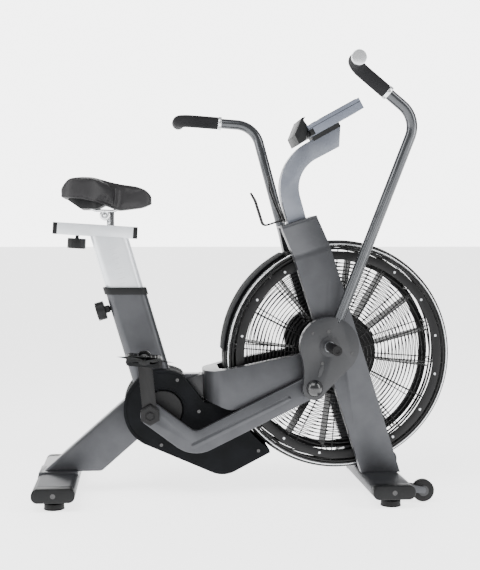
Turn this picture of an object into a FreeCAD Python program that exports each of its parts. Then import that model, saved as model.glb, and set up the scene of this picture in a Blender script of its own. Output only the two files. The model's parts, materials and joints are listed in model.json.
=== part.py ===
# Air bike: fan-braked exercise bicycle with push-pull handles.
# Frame: +X forward (fan end), +Y to the rider's left, +Z up, floor at Z = 0.
# The origin is on the floor, midway between the two ends.
import FreeCAD, Part
import math
import os

V = FreeCAD.Vector
UP = V(0, 0, 1)
SIDE = V(0, 1, 0)
RIGHT = -1
LEFT = 1

DRIVING = [
    ("fan_radius", 340), ("fan_height", 408), ("cage_half", 80), ("tube_wall", 3),
    ("hub_radius", 26), ("blade_root", 120), ("blade_tip", "=fan_radius - 58"), ("blade_half_width", 44),
    ("blade_count", 16), ("spindle_radius", 8.5), ("wire_radius", 1.6), ("ring_radius", 3.5),
    ("grille_inner", 62), ("grille_band_inner", "=fan_radius - 62"), ("grille_band_outer", "=fan_radius - 41"),
    ("running_clearance", 0.05), ("body_gap", 0.4),
    ("crank_back", 519), ("crank_height", 254), ("pin_throw", 39), ("crank_length", 170),
    ("pedal_angle", 19), ("pin_radius", 10), ("axle_radius", 11), ("disc_radius", 55),
    ("crank_pulley_radius", 95), ("jack_back", 345), ("jack_height", 140),
    ("jack_small_radius", 25), ("jack_big_radius", 56), ("fan_pulley_radius", 28),
    ("belt_width", 10), ("belt_thickness", 3),
    ("casing_half", 75), ("casing_wall", 3), ("casing_radius", 115),
    ("leg_inner", 84), ("leg_thickness", 36), ("leg_width", 110), ("leg_lean", 17.6),
    ("front_foot_x", 117), ("rear_foot_x", 825), ("tube_height", 40), ("tube_depth", 120),
    ("rear_reach", "=rear_foot_x + tube_depth / 2"),
    ("front_half_length", 290), ("rear_half_length", 240), ("foot_height", 26), ("foot_radius", 28),
    ("pivot_back", 47), ("pivot_rise", 35), ("stub_radius", 15), ("stub_end", 182),
    ("peg_radius", 14), ("peg_end", 290),
    ("link_inner", "=leg_inner + leg_thickness + 4"), ("link_thickness", 20), ("link_width", 66), ("link_length", 471.5),
    ("lever_gap", 4), ("lever_thickness", 18), ("lever_length", 126), ("cover_depth", 30),
    ("cover_radius", 85), ("ball_radius", 25),
    ("right_lean", 20), ("left_lean", -15), ("bar_radius", 15.5), ("bar_wall", 2.5),
    ("bar_rise", 690), ("bar_flare", 55), ("grip_run", 240), ("grip_angle", 71),
    ("grip_out", 83), ("grip_radius", 19.5), ("bar_bend", 78), ("elbow_bend", 42),
    ("seat_lean", 16.5), ("seat_tube_width", 115), ("seat_tube_thickness", 60), ("seat_tube_wall", 4),
    ("post_clearance", 0.5), ("seat_tube_length", 300), ("seat_base_x", 540), ("seat_base_z", 302),
    ("post_length", 376), ("rail_rise", 340), ("post_rest", 130), ("post_wall", 4),
    ("rail_length", 247), ("rail_height", 35), ("rail_width", 46), ("rail_wall", 3), ("rail_tilt", 3.5),
    ("saddle_half_width", 112), ("saddle_length", 260), ("stem_radius", 11),
    ("mast_depth", 56), ("mast_width", 50), ("mast_bend", 125),
    ("console_half_width", 90), ("wheel_radius", 31.5), ("wheel_width", 22), ("wheel_axle_radius", 4),
    ("cage_wire", 2.5), ("bottle_radius", 24),
]

doc = FreeCAD.newDocument("air_bike")
sheet = doc.addObject("Spreadsheet::Sheet", "Sizes")
for row, (alias, number) in enumerate(DRIVING, start=1):
    sheet.set("A%d" % row, alias)
    sheet.set("B%d" % row, str(number))
    sheet.setAlias("B%d" % row, alias)
doc.recompute()


def size(alias):
    return float(sheet.get(alias))


# Everything below is laid out from the fan axle; mid_shift brings the origin to mid-length.
mid_shift = (size("rear_reach") - size("fan_radius")) / 2
fan_z = size("fan_height")
subparts = {}


def place(feature, x=0, y=0, z=0, turn=0, about=SIDE):
    """Put a feature at x behind/ahead of the fan axle, turned about one axis through its origin."""
    feature.Placement = FreeCAD.Placement(V(x + mid_shift, y, z), FreeCAD.Rotation(about, turn))
    return feature


def keep(name, feature):
    """Make a feature one of the object's sub-parts."""
    feature.Label = name
    subparts[name] = feature
    return feature


# ---------------------------------------------------------------- outlines

def rounded(points, radii, closed=True):
    """Lines and tangent arcs through the points; radii is one number or one for each point."""
    count = len(points)
    if not isinstance(radii, (list, tuple)):
        radii = [radii] * count
    corners = []
    for index, (point, radius) in enumerate(zip(points, radii)):
        inside = closed or 0 < index < count - 1
        if not inside or radius <= 0:
            corners.append((point, None, point))
            continue
        before = (points[index - 1] - point).normalize()
        after = (points[(index + 1) % count] - point).normalize()
        half = before.getAngle(after) / 2
        reach = radius / math.tan(half)
        middle = (before + after).normalize()
        apex = point + middle * (radius / math.sin(half) - radius)
        corners.append((point + before * reach, apex, point + after * reach))
    edges = []
    for index, (start, apex, end) in enumerate(corners):
        if apex is not None:
            edges.append(Part.Arc(start, apex, end))
        if closed or index < count - 1:
            follower = corners[(index + 1) % count][0]
            if (follower - end).Length > 1e-6:
                edges.append(Part.LineSegment(end, follower))
    return edges


def strip(points, width, bend, ends=0):
    """Outline of a band of one width whose centre line bends once, twice or more."""
    half = width / 2
    left = []
    right = []
    for index, point in enumerate(points):
        arms = []
        if index > 0:
            arms.append((point - points[index - 1]).normalize())
        if index < len(points) - 1:
            arms.append((points[index + 1] - point).normalize())
        along = (arms[0] + arms[-1]).normalize()
        across = V(-along.y, along.x, 0)
        stretch = half / math.cos(arms[0].getAngle(arms[-1]) / 2)
        turning_left = len(arms) == 2 and arms[0].cross(arms[1]).z > 0
        inner, outer = max(bend - half, 1), bend + half
        if len(arms) == 1:
            inner = outer = ends
        left.append((point + across * stretch, inner if turning_left else outer))
        right.append((point - across * stretch, outer if turning_left else inner))
    loop = left + right[::-1]
    return rounded([spot for spot, _ in loop], [radius for _, radius in loop])


def inset(points, depth):
    """The same outline with every side moved inward by one depth."""
    count = len(points)
    area = sum(points[index - 1].cross(points[index]).z for index in range(count))
    inward = 1 if area > 0 else -1
    moved = []
    for index, point in enumerate(points):
        before = (point - points[index - 1]).normalize()
        after = (points[(index + 1) % count] - point).normalize()
        across = (V(-before.y, before.x, 0) + V(-after.y, after.x, 0)).normalize()
        stretch = depth / math.cos(before.getAngle(after) / 2)
        moved.append(point + across * (stretch * inward))
    return moved


def flat(x, z):
    return V(x, z, 0)


def circle(x, z, radius):
    return Part.Circle(flat(x, z), UP, radius)


def plane_of(body, role):
    for plane in body.Origin.OriginFeatures:
        if plane.Role == role:
            return plane


def sketch_on(body, role, geometry, offset=None):
    sketch = body.newObject("Sketcher::SketchObject", body.Name + "_outline")
    sketch.AttachmentSupport = (plane_of(body, role), [""])
    sketch.MapMode = "FlatFace"
    if offset is not None:
        sketch.setExpression("AttachmentOffset.Base.z", offset)
    for edge in geometry:
        sketch.addGeometry(edge, False)
    return sketch


def pad(body, sketch, length, middle=False, backwards=False):
    feature = body.newObject("PartDesign::Pad", body.Name + "_pad")
    feature.Profile = sketch
    feature.setExpression("Length", length)
    feature.Midplane = middle
    feature.Reversed = backwards
    return feature


def side_plate(name, geometry, start, thickness, side=RIGHT):
    """A plate drawn in side view; it starts at |Y| = start and grows outward on one side."""
    body = doc.addObject("PartDesign::Body", name)
    offset = start if side == RIGHT else "-(%s)" % start
    sketch = sketch_on(body, "XZ_Plane", geometry, offset)
    pad(body, sketch, thickness, backwards=(side == LEFT))
    return body


def middle_plate(name, geometry, thickness, role="XZ_Plane"):
    body = doc.addObject("PartDesign::Body", name)
    sketch = sketch_on(body, role, geometry)
    pad(body, sketch, thickness, middle=True)
    return body


def rod(name, radius, length, x, y, z, axis=SIDE):
    """A plain cylinder that starts at a point and runs along an axis."""
    feature = doc.addObject("Part::Cylinder", name)
    feature.setExpression("Radius", radius)
    feature.setExpression("Height", length)
    turn = FreeCAD.Rotation(UP, axis)
    feature.Placement = FreeCAD.Placement(V(x + mid_shift, y, z), turn)
    return feature


def block(name, length, width, height, x, y, z, turn=0):
    """A box centred in Y on y, with x and z at its low corner, tilted about Y."""
    feature = doc.addObject("Part::Box", name)
    feature.setExpression("Length", length)
    feature.setExpression("Width", width)
    feature.setExpression("Height", height)
    spin = FreeCAD.Rotation(SIDE, turn)
    corner = V(x + mid_shift, y, z) + spin.multVec(V(0, -value(width) / 2, 0))
    feature.Placement = FreeCAD.Placement(corner, spin)
    return feature


def value(expression):
    """Number that a sheet expression stands for."""
    names = {alias: size(alias) for alias, _ in DRIVING}
    total = expression
    for alias in sorted(names, key=len, reverse=True):
        total = total.replace("Sizes." + alias, repr(names[alias]))
    return float(FreeCAD.Units.Quantity(total).Value)


def cut(name, base, tool):
    feature = doc.addObject("Part::Cut", name)
    feature.Base = base
    feature.Tool = tool
    return feature


def fuse(name, pieces):
    feature = doc.addObject("Part::MultiFuse", name)
    feature.Shapes = pieces
    return feature


def group(name, pieces):
    """Several separate solids of one kind in one sub-part."""
    feature = doc.addObject("Part::Compound", name)
    feature.Links = pieces
    return feature


def shaped(name, shape, x=0, y=0, z=0, turn=0):
    feature = doc.addObject("Part::Feature", name)
    feature.Shape = shape
    return place(feature, x, y, z, turn)


def pipe(points, bends, radius):
    """Round bar along straight runs joined by tangent arcs."""
    path = Part.Wire([edge.toShape() for edge in rounded(points, bends, closed=False)])
    start = (points[1] - points[0]).normalize()
    ring = Part.Wire([Part.Circle(points[0], start, radius).toShape()])
    return path.makePipeShell([ring], True, True)


def tube_ring(radius, wire, y):
    return Part.makeTorus(radius, wire, V(0, y, 0), SIDE)


# ---------------------------------------------------------------- welded frame

frame_top = size("foot_height") + size("tube_height")
tube_wall = size("tube_wall")
front_x = size("front_foot_x")
rear_x = -size("rear_foot_x")
crank_x = -size("crank_back")
crank_z = size("crank_height")
pivot_x = -size("pivot_back")
pivot_z = fan_z + size("pivot_rise")


def stabiliser_outline(x, shrink=0):
    low = size("foot_height") + shrink
    high = frame_top - shrink
    half = size("tube_depth") / 2 - shrink
    corners = [flat(x - half, low), flat(x + half, low), flat(x + half, high), flat(x - half, high)]
    return rounded(corners, (high - low) * 0.45)


cap_length = 34
caps = []
for name, x, alias in (("rear", rear_x, "rear_half_length"), ("front", front_x, "front_half_length")):
    bar = middle_plate(name + "_bar", stabiliser_outline(x) + stabiliser_outline(x, tube_wall),
                       "2 * (Sizes.%s - %d)" % (alias, cap_length))
    place(bar)
    for side in (RIGHT, LEFT):
        end = side_plate("%s_cap_%d" % (name, side), stabiliser_outline(x),
                         "Sizes.%s - %d" % (alias, cap_length), "%d mm" % cap_length, side)
        caps.append(place(end))
    if name == "rear":
        rear_bar = bar
    else:
        front_bar = bar
keep("stabiliser_caps", group("stabiliser_caps", caps))

feet = []
foot_inset = 50
for x, alias in ((rear_x, "rear_half_length"), (front_x, "front_half_length")):
    for side in (RIGHT, LEFT):
        y = side * (size(alias) - foot_inset)
        pad_part = rod("foot_pad", "Sizes.foot_radius", "Sizes.foot_height - 8", x, y, 0, UP)
        screw = rod("foot_screw", "7 mm", "8 mm", x, y, size("foot_height") - 8, UP)
        feet.append(fuse("foot", [pad_part, screw]))
keep("levelling_feet", group("levelling_feet", feet))

# rear leg: straight box tube rising from the rear stabiliser to the crank
leg_slope = math.radians(41.2)
rear_leg_depth = 113
leg_run = V(math.cos(leg_slope), math.sin(leg_slope), 0)
leg_down = V(leg_run.y, -leg_run.x, 0)
heel = flat(rear_x - 46, frame_top)
shoulder = heel + leg_run * 338
leg_points = [heel, shoulder, shoulder + leg_down * rear_leg_depth]
underside = shoulder + leg_down * rear_leg_depth
drop = (underside.y - frame_top) / leg_run.y
leg_points.append(underside - leg_run * drop)
rear_leg = middle_plate("rear_leg_tube", rounded(leg_points, 0), "60 mm")
place(rear_leg)

# saddle-shaped bracket that carries the leg on the rear stabiliser
bracket_outline = rounded([flat(rear_x - 60, frame_top - 14), flat(rear_x + 60, frame_top - 14),
                           flat(rear_x + 56, frame_top + 5), flat(rear_x - 56, frame_top + 5)], 3)
rear_bracket = middle_plate("rear_bracket_plate", bracket_outline, "100 mm")
place(rear_bracket)
keep("rear_stabiliser", cut("rear_stabiliser", fuse("rear_base", [rear_bar, rear_bracket]), rear_leg))

# seat tube: flat-sided oval tube, leaning back, open at the top
lean = math.radians(size("seat_lean"))
seat_up = V(-math.sin(lean), 0, math.cos(lean))
seat_back = V(-math.cos(lean), 0, -math.sin(lean))


def oval(width, thickness):
    half = width / 2
    deep = thickness / 2
    corners = [V(-half, -deep, 0), V(half, -deep, 0), V(half, deep, 0), V(-half, deep, 0)]
    return rounded(corners, min(22, thickness * 0.42))


def oval_tube(name, width, thickness, wall, length):
    body = doc.addObject("PartDesign::Body", name)
    inner = oval(width - 2 * wall, thickness - 2 * wall)
    sketch = sketch_on(body, "XY_Plane", oval(width, thickness) + inner)
    pad(body, sketch, length)
    return body


tube_width = size("seat_tube_width")
tube_thick = size("seat_tube_thickness")
seat_wall = size("seat_tube_wall")
seat_tube_raw = oval_tube("seat_tube_raw", tube_width, tube_thick, seat_wall, "Sizes.seat_tube_length")
seat_x = -size("seat_base_x")
seat_z = size("seat_base_z")
place(seat_tube_raw, seat_x, 0, seat_z, -size("seat_lean"))
seat_tube_long = oval_tube("seat_tube_long", tube_width, tube_thick, seat_wall, "Sizes.seat_tube_length + 30")
place(seat_tube_long, seat_x, 0, seat_z, -size("seat_lean"))
knob_rise = 272
knob_spot = V(seat_x, 0, seat_z) + seat_up * knob_rise + seat_back * (tube_width / 2 - 20)
pin_bore = rod("pin_bore", "6.05 mm", "40 mm", knob_spot.x, 0, knob_spot.z, seat_back)
mouth_room = block("mouth_room", "400 mm", "200 mm", "100 mm", seat_x - 300, 0,
                   seat_z + size("seat_tube_length") * math.cos(lean) - 2)
keep("seat_tube", cut("seat_tube", cut("seat_tube_level", seat_tube_long, mouth_room), pin_bore))
leg_hollow = middle_plate("rear_leg_hollow", rounded(inset(leg_points, tube_wall), 0), "60 - 2 * Sizes.tube_wall")
place(leg_hollow)
keep("rear_leg", cut("rear_leg", cut("rear_leg_box", rear_leg, leg_hollow), block("seat_tube_room", "Sizes.seat_tube_width",
     "70 mm", "Sizes.seat_tube_length", seat_x - math.cos(lean) * tube_width / 2, 0,
     seat_z - math.sin(lean) * tube_width / 2, -size("seat_lean"))))

# plastic collar round the mouth of the seat tube; both are cut level
mouth_z = seat_z + size("seat_tube_length") * math.cos(lean) - 2
collar_height = 21
collar_lip = 4
collar_body = doc.addObject("PartDesign::Body", "collar_body")
collar_hole = oval(tube_width - 2 * seat_wall, tube_thick - 2 * seat_wall)
collar_outer = oval(tube_width + 2 * collar_lip, tube_thick + 2 * collar_lip)
pad(collar_body, sketch_on(collar_body, "XY_Plane", collar_outer + collar_hole), "120 mm")
collar_spot = V(seat_x, 0, seat_z) + seat_up * (size("seat_tube_length") - 60)
place(collar_body, collar_spot.x, 0, collar_spot.z, -size("seat_lean"))
collar_band = block("collar_band", "400 mm", "200 mm", "%d mm" % collar_height, collar_spot.x - 200, 0, mouth_z)
collar = doc.addObject("Part::MultiCommon", "seat_tube_collar")
collar.Shapes = [collar_body, collar_band]
keep("seat_tube_collar", collar)

# bottom bracket shell and the beam to the fork
shell_half = 31
shell_outer = rod("shell_outer", "27 mm", "%d mm" % (2 * shell_half), crank_x, -shell_half, crank_z)
shell_bore = rod("shell_bore", "Sizes.axle_radius + Sizes.running_clearance", "%d mm" % (2 * shell_half),
                 crank_x, -shell_half, crank_z)
keep("bottom_bracket", cut("bottom_bracket", shell_outer, shell_bore))
fork_rear = -400
beam_points = [flat(seat_x - 20, crank_z + 96), flat(fork_rear, crank_z + 96),
               flat(fork_rear, crank_z + 32), flat(crank_x - 12, crank_z + 32)]
beam_raw = middle_plate("beam_raw", rounded(beam_points, 0), "44 mm")
place(beam_raw)
beam_hollow = middle_plate("beam_hollow", rounded(inset(beam_points, tube_wall), 0), "44 - 2 * Sizes.tube_wall")
place(beam_hollow)
seat_room = block("seat_room", "Sizes.seat_tube_width", "70 mm", "Sizes.seat_tube_length",
                  seat_x - math.cos(lean) * tube_width / 2, 0, seat_z - math.sin(lean) * tube_width / 2,
                  -size("seat_lean"))
beam_less_leg = cut("beam_less_leg", cut("beam_box", beam_raw, beam_hollow), rear_leg)
keep("main_beam", cut("main_beam", beam_less_leg, seat_room))

# fork: one U-shaped box member that passes round the back of the fan
leg_in = size("leg_inner")
leg_out = leg_in + size("leg_thickness")
fork_front = -66
crown_wall = 46


def fork_plan(x, half, radius):
    corners = [V(x, -half, 0), V(fork_front, -half, 0), V(fork_front, half, 0), V(x, half, 0)]
    return rounded(corners, [radius, 0, 0, radius])


fork_outer = doc.addObject("PartDesign::Body", "fork_outer")
pad(fork_outer, sketch_on(fork_outer, "XY_Plane", fork_plan(fork_rear, leg_out, 96)), "600 mm")
place(fork_outer)
fork_inner = doc.addObject("PartDesign::Body", "fork_inner")
pad(fork_inner, sketch_on(fork_inner, "XY_Plane", fork_plan(fork_rear + crown_wall, leg_in, 40)), "600 mm")
place(fork_inner)
fork_side = [flat(fork_rear - 1, 364), flat(fork_rear + 30, 366), flat(fork_front, 427),
             flat(fork_front, 322), flat(-115, 312), flat(-326, 253), flat(fork_rear - 1, 282)]
fork_profile = middle_plate("fork_profile", rounded(fork_side, [0, 20, 0, 0, 60, 60, 0]), "600 mm")
place(fork_profile)
fork_ring = cut("fork_ring", fork_outer, fork_inner)
fork_solid = doc.addObject("Part::MultiCommon", "fork_solid")
fork_solid.Shapes = [fork_ring, fork_profile]
core_outer = doc.addObject("PartDesign::Body", "core_outer")
core_plan = fork_plan(fork_rear + tube_wall, leg_out - tube_wall, 96 - tube_wall)
pad(core_outer, sketch_on(core_outer, "XY_Plane", core_plan), "600 mm")
place(core_outer)
core_inner = doc.addObject("PartDesign::Body", "core_inner")
core_plan = fork_plan(fork_rear + crown_wall - tube_wall, leg_in + tube_wall, 40 + tube_wall)
pad(core_inner, sketch_on(core_inner, "XY_Plane", core_plan), "600 mm")
place(core_inner)
core_profile = middle_plate("core_profile", rounded(inset(fork_side, tube_wall), 0), "600 mm")
place(core_profile)
fork_core = doc.addObject("Part::MultiCommon", "fork_core")
fork_core.Shapes = [cut("core_ring", core_outer, core_inner), core_profile]
fork = cut("fork", fork_solid, fork_core)
keep("fork", fork)
cover_outline = rounded([flat(-446, 338), flat(fork_rear, 352), flat(fork_rear, 282), flat(-440, 300)], 4)
cover_raw = middle_plate("beam_cover_raw", cover_outline, "64 mm")
place(cover_raw)
keep("beam_cover", cut("beam_cover", cover_raw, subparts["main_beam"]))

# front legs: box tubes that close in above the fan
leg_lean = math.radians(size("leg_lean"))
leg_height = (800 - frame_top) / math.cos(leg_lean)
leg_up = V(-math.sin(leg_lean), 0, math.cos(leg_lean))
head_half = 22
leg_mid = leg_in + size("leg_thickness") / 2
head_mid = head_half + size("leg_thickness") / 2
# the bend rises with the wall so that its inner corner stays clear of the rim wires
bend_low = leg_height * 0.867 + size("leg_thickness") / 6
front_trim = block("front_trim", "400 mm", "400 mm", "200 mm", front_x - 200, 0, frame_top - 200)
for side, name in ((RIGHT, "front_leg_right"), (LEFT, "front_leg_left")):
    line = [V(side * leg_mid, -40, 0), V(side * leg_mid, bend_low, 0), V(side * head_mid, leg_height - 10, 0),
            V(side * head_mid, leg_height, 0)]
    body = doc.addObject("PartDesign::Body", name + "_tube")
    pad(body, sketch_on(body, "YZ_Plane", strip(line, size("leg_thickness"), 26)), "Sizes.leg_width", middle=True)
    place(body, front_x, 0, frame_top, -size("leg_lean"))
    core = doc.addObject("PartDesign::Body", name + "_core")
    core_line = strip(line, size("leg_thickness") - 2 * tube_wall, 26)
    pad(core, sketch_on(core, "YZ_Plane", core_line), "Sizes.leg_width - 2 * Sizes.tube_wall", middle=True)
    place(core, front_x, 0, frame_top, -size("leg_lean"))
    stub_hole = rod(name + "_hole", "Sizes.stub_radius", "60 mm", pivot_x, side * leg_mid - 30, pivot_z)
    spindle_hole = rod(name + "_axle", "Sizes.spindle_radius", "60 mm", 0, side * leg_mid - 30, fan_z)
    trimmed = cut(name + "_trim", cut(name + "_box", body, core), front_trim)
    keep(name, cut(name, cut(name + "_bored", trimmed, stub_hole), spindle_hole))

head_x = front_x - math.tan(leg_lean) * (800 - frame_top)
head_outline = rounded([flat(-size("leg_width") / 2, 0), flat(size("leg_width") / 2, 0),
                        flat(size("leg_width") / 2, 5), flat(-size("leg_width") / 2, 5)], 0)
head_cap = middle_plate("head_cap", head_outline, "2 * (%d + Sizes.leg_thickness)" % head_half)
head_spot = V(front_x, 0, frame_top) + leg_up * leg_height
place(head_cap, head_spot.x, 0, head_spot.z, -size("leg_lean"))
keep("head_cap", head_cap)

# front stabiliser with two ears for the transport wheels
wheel_x = front_x + 99
wheel_z = size("wheel_radius") + 3
wheel_y = 215
ears = [front_bar]
for side in (RIGHT, LEFT):
    for cheek in (-1, 1):
        reach = size("wheel_width") / 2 + 1
        ear_outline = rounded([flat(front_x + 40, 58), flat(wheel_x + 2, wheel_z + 12),
                               flat(wheel_x + 12, wheel_z - 8), flat(front_x + 46, 34)], [4, 10, 8, 4])
        ear = middle_plate("wheel_ear", ear_outline, "4 mm")
        place(ear, 0, side * wheel_y + cheek * (reach + 2), 0)
        ears.append(ear)
    pin = rod("wheel_pin", "Sizes.wheel_axle_radius", "Sizes.wheel_width + 10",
              wheel_x, side * wheel_y - size("wheel_width") / 2 - 5, wheel_z)
    ears.append(pin)
keep("front_stabiliser", fuse("front_stabiliser", ears))
for side, name in ((RIGHT, "transport_wheel_right"), (LEFT, "transport_wheel_left")):
    tyre = rod(name + "_tyre", "Sizes.wheel_radius", "Sizes.wheel_width", wheel_x,
               side * wheel_y - size("wheel_width") / 2, wheel_z)
    hole = rod(name + "_hole", "Sizes.wheel_axle_radius + Sizes.running_clearance", "Sizes.wheel_width",
               wheel_x, side * wheel_y - size("wheel_width") / 2, wheel_z)
    keep(name, cut(name, tyre, hole))

# mast: curved oval tube from the head to the console
mast_foot = head_spot + leg_up * 5
mast_line = [V(mast_foot.x, mast_foot.z - 4, 0), V(mast_foot.x - 46, mast_foot.z + 162, 0),
             V(40, mast_foot.z + 270, 0)]
mast_solid = middle_plate("mast_solid", strip(mast_line, size("mast_depth"), size("mast_bend")), "Sizes.mast_width")
place(mast_solid)
mast_core_line = strip(mast_line, size("mast_depth") - 2 * tube_wall, size("mast_bend"))
mast_core = middle_plate("mast_core", mast_core_line, "Sizes.mast_width - 2 * Sizes.tube_wall")
place(mast_core)
mast_raw = cut("mast_raw", mast_solid, mast_core)
mast_end = block("mast_end", "120 mm", "200 mm", "200 mm", 6, 0, 980, 3)
keep("mast", cut("mast", cut("mast_trimmed", mast_raw, mast_end), head_cap))

# ---------------------------------------------------------------- drive and its casing

gap = size("body_gap")
fan_belt_y = 56
jack_x = -size("jack_back")
jack_z = size("jack_height")
casing_half = size("casing_half")
wall = size("casing_wall")


def casing_outline(shrink):
    """Side outline of the casing: round over the crank, a dip, then the belly over the jackshaft."""
    big = size("casing_radius") - shrink
    belly = size("jack_big_radius") + 24 - shrink
    turn = [flat(crank_x + big * math.cos(math.radians(angle)), crank_z + big * math.sin(math.radians(angle)))
            for angle in (60, 150, 240)]
    dip = flat(crank_x + 122, crank_z + 16 - shrink)
    nose_top = flat(-342, crank_z + 16 - shrink)
    nose_low = flat(-322 - shrink, crank_z - 2)
    tip_top = flat(-222 - shrink, 196 - shrink)
    tip_low = flat(-205 - shrink, 122 + shrink * 0.4)
    belly_right = flat(jack_x + belly * 0.52, jack_z - belly * 0.86)
    belly_mid = flat(jack_x + belly * 0.1, jack_z - belly)
    belly_left = flat(jack_x - belly * 0.42, jack_z - belly * 0.91)
    edges = [Part.Arc(turn[0], turn[1], turn[2]), Part.LineSegment(turn[2], belly_left),
             Part.Arc(belly_left, belly_mid, belly_right), Part.LineSegment(belly_right, tip_low),
             Part.LineSegment(tip_low, tip_top), Part.LineSegment(tip_top, nose_low),
             Part.LineSegment(nose_low, nose_top), Part.LineSegment(nose_top, dip),
             Part.LineSegment(dip, turn[0])]
    return edges


fan_room = rod("fan_room", "Sizes.fan_radius + 6", "400 mm", 0, -200, fan_z)
for side, name in ((RIGHT, "casing_right"), (LEFT, "casing_left")):
    shell_body = doc.addObject("PartDesign::Body", name + "_shell")
    start = "0 mm"
    backwards = side == LEFT
    pad(shell_body, sketch_on(shell_body, "XZ_Plane", casing_outline(0), start), "Sizes.casing_half", backwards=backwards)
    hollow_body = doc.addObject("PartDesign::Body", name + "_hollow")
    pad(hollow_body, sketch_on(hollow_body, "XZ_Plane", casing_outline(wall), start),
        "Sizes.casing_half - Sizes.casing_wall", backwards=backwards)
    place(shell_body)
    place(hollow_body)
    window = rod(name + "_window", "Sizes.disc_radius + 3", "Sizes.casing_half + 5", crank_x,
                 0 if side == LEFT else -casing_half - 5, crank_z)
    shell = cut(name + "_thin", shell_body, hollow_body)
    belt_room = doc.addObject("Part::Box", "belt_room")
    belt_room.setExpression("Length", "Sizes.fan_radius")
    belt_room.setExpression("Width", "Sizes.belt_width + 4")
    belt_room.setExpression("Height", "2 * Sizes.jack_big_radius + 14")
    rise = math.degrees(math.atan2(fan_z - jack_z, -jack_x))
    belt_turn = FreeCAD.Rotation(SIDE, -rise)
    low = V(0, fan_belt_y - size("belt_width") / 2 - 2, -size("jack_big_radius") - 7)
    belt_room.Placement = FreeCAD.Placement(V(jack_x + mid_shift, 0, jack_z) + belt_turn.multVec(low), belt_turn)
    tools = [window, fan_room, rear_leg, seat_tube_raw, collar_body, fork, beam_raw,
             seat_room, subparts["beam_cover"], belt_room]
    for number, tool in enumerate(tools):
        shell = cut("%s_cut_%d" % (name, number), shell, tool)
    keep(name, shell)

fittings = []
for x, z in ((-478, 340), (-415, 247), (-525, 150), (-240, 128)):
    fittings.append(rod("casing_screw", "4.5 mm", "3 mm", x, -casing_half - 3, z))
    fittings.append(rod("casing_screw", "4.5 mm", "3 mm", x, casing_half, z))
keep("casing_screws", group("casing_screws", fittings))

# crank set
disc_half = casing_half - 2
disc_thickness = 8
axle_half = disc_half + disc_thickness
keep("crank_axle", rod("crank_axle", "Sizes.axle_radius", "%s mm" % (2 * axle_half), crank_x, -axle_half, crank_z))
pulley_y = 40
pulley_rim = rod("pulley_rim", "Sizes.crank_pulley_radius", "14 mm", crank_x, pulley_y - 7, crank_z)
pulley_bore = rod("pulley_bore", "Sizes.axle_radius", "14 mm", crank_x, pulley_y - 7, crank_z)
keep("crank_pulley", cut("crank_pulley", pulley_rim, pulley_bore))

throw = size("pin_throw")
crank_angle = math.radians(size("pedal_angle"))
link_in = size("link_inner")
link_out = link_in + size("link_thickness")
arm_in = link_out + 6
arm_thickness = 16
pedal_in = arm_in + arm_thickness + 6
pedal_width = 92
discs = []
arms = []
for side, name in ((RIGHT, "right"), (LEFT, "left")):
    pin_x = crank_x + side * throw
    low = disc_half if side == LEFT else -axle_half
    disc = rod("crank_disc_plate", "Sizes.disc_radius", "%d mm" % disc_thickness, crank_x, low, crank_z)
    bore = rod("crank_disc_bore", "Sizes.axle_radius", "%d mm" % disc_thickness, crank_x, low, crank_z)
    pin_length = arm_in + arm_thickness - axle_half
    pin = rod("crank_pin", "Sizes.pin_radius", "%s mm" % pin_length, pin_x,
              axle_half if side == LEFT else -axle_half - pin_length, crank_z)
    discs.append(fuse("crank_disc", [cut("crank_disc_hub", disc, bore), pin]))
    reach_x = side * size("crank_length") * math.sin(crank_angle)
    reach_z = -side * size("crank_length") * math.cos(crank_angle)
    pedal_x = crank_x + reach_x
    pedal_z = crank_z + reach_z
    run = V(pedal_x - pin_x, pedal_z - crank_z, 0)
    along = run.normalize()
    line = [flat(pin_x, crank_z) - along * 27, flat(pedal_x, pedal_z) + along * 20]
    arm = side_plate("outer_arm", rounded([edge.StartPoint for edge in strip(line, 40, 0)], 16),
                     "%s mm" % arm_in, "%s mm" % arm_thickness, side)
    place(arm)
    hole = rod("outer_arm_hole", "Sizes.pin_radius", "60 mm", pin_x, side * arm_in - 30, crank_z)
    spindle = rod("pedal_spindle", "7 mm", "%s mm" % (pedal_width + 6 + 8),
                  pedal_x, side * (arm_in + arm_thickness) if side == LEFT
                  else -(arm_in + arm_thickness) - pedal_width - 14, pedal_z)
    arms.append(fuse("outer_crank", [cut("outer_arm_bored", arm, hole), spindle]))
    tilt = 5
    body = doc.addObject("PartDesign::Body", "pedal_" + name + "_block")
    length = 98
    height = 26
    block_outline = rounded([flat(-length / 2, -height / 2), flat(length / 2, -height / 2),
                             flat(length / 2, height / 2), flat(-length / 2, height / 2)], 8)
    bore_ring = [circle(0, 0, 7.05)]
    pad(body, sketch_on(body, "XZ_Plane", block_outline + bore_ring, None), "%d mm" % pedal_width,
        backwards=(side == LEFT))
    place(body, pedal_x, side * pedal_in, pedal_z, tilt)
    keep("pedal_" + name, body)
    keep("crank_discs", group("crank_discs", discs))
keep("outer_cranks", group("outer_cranks", arms))

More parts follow.
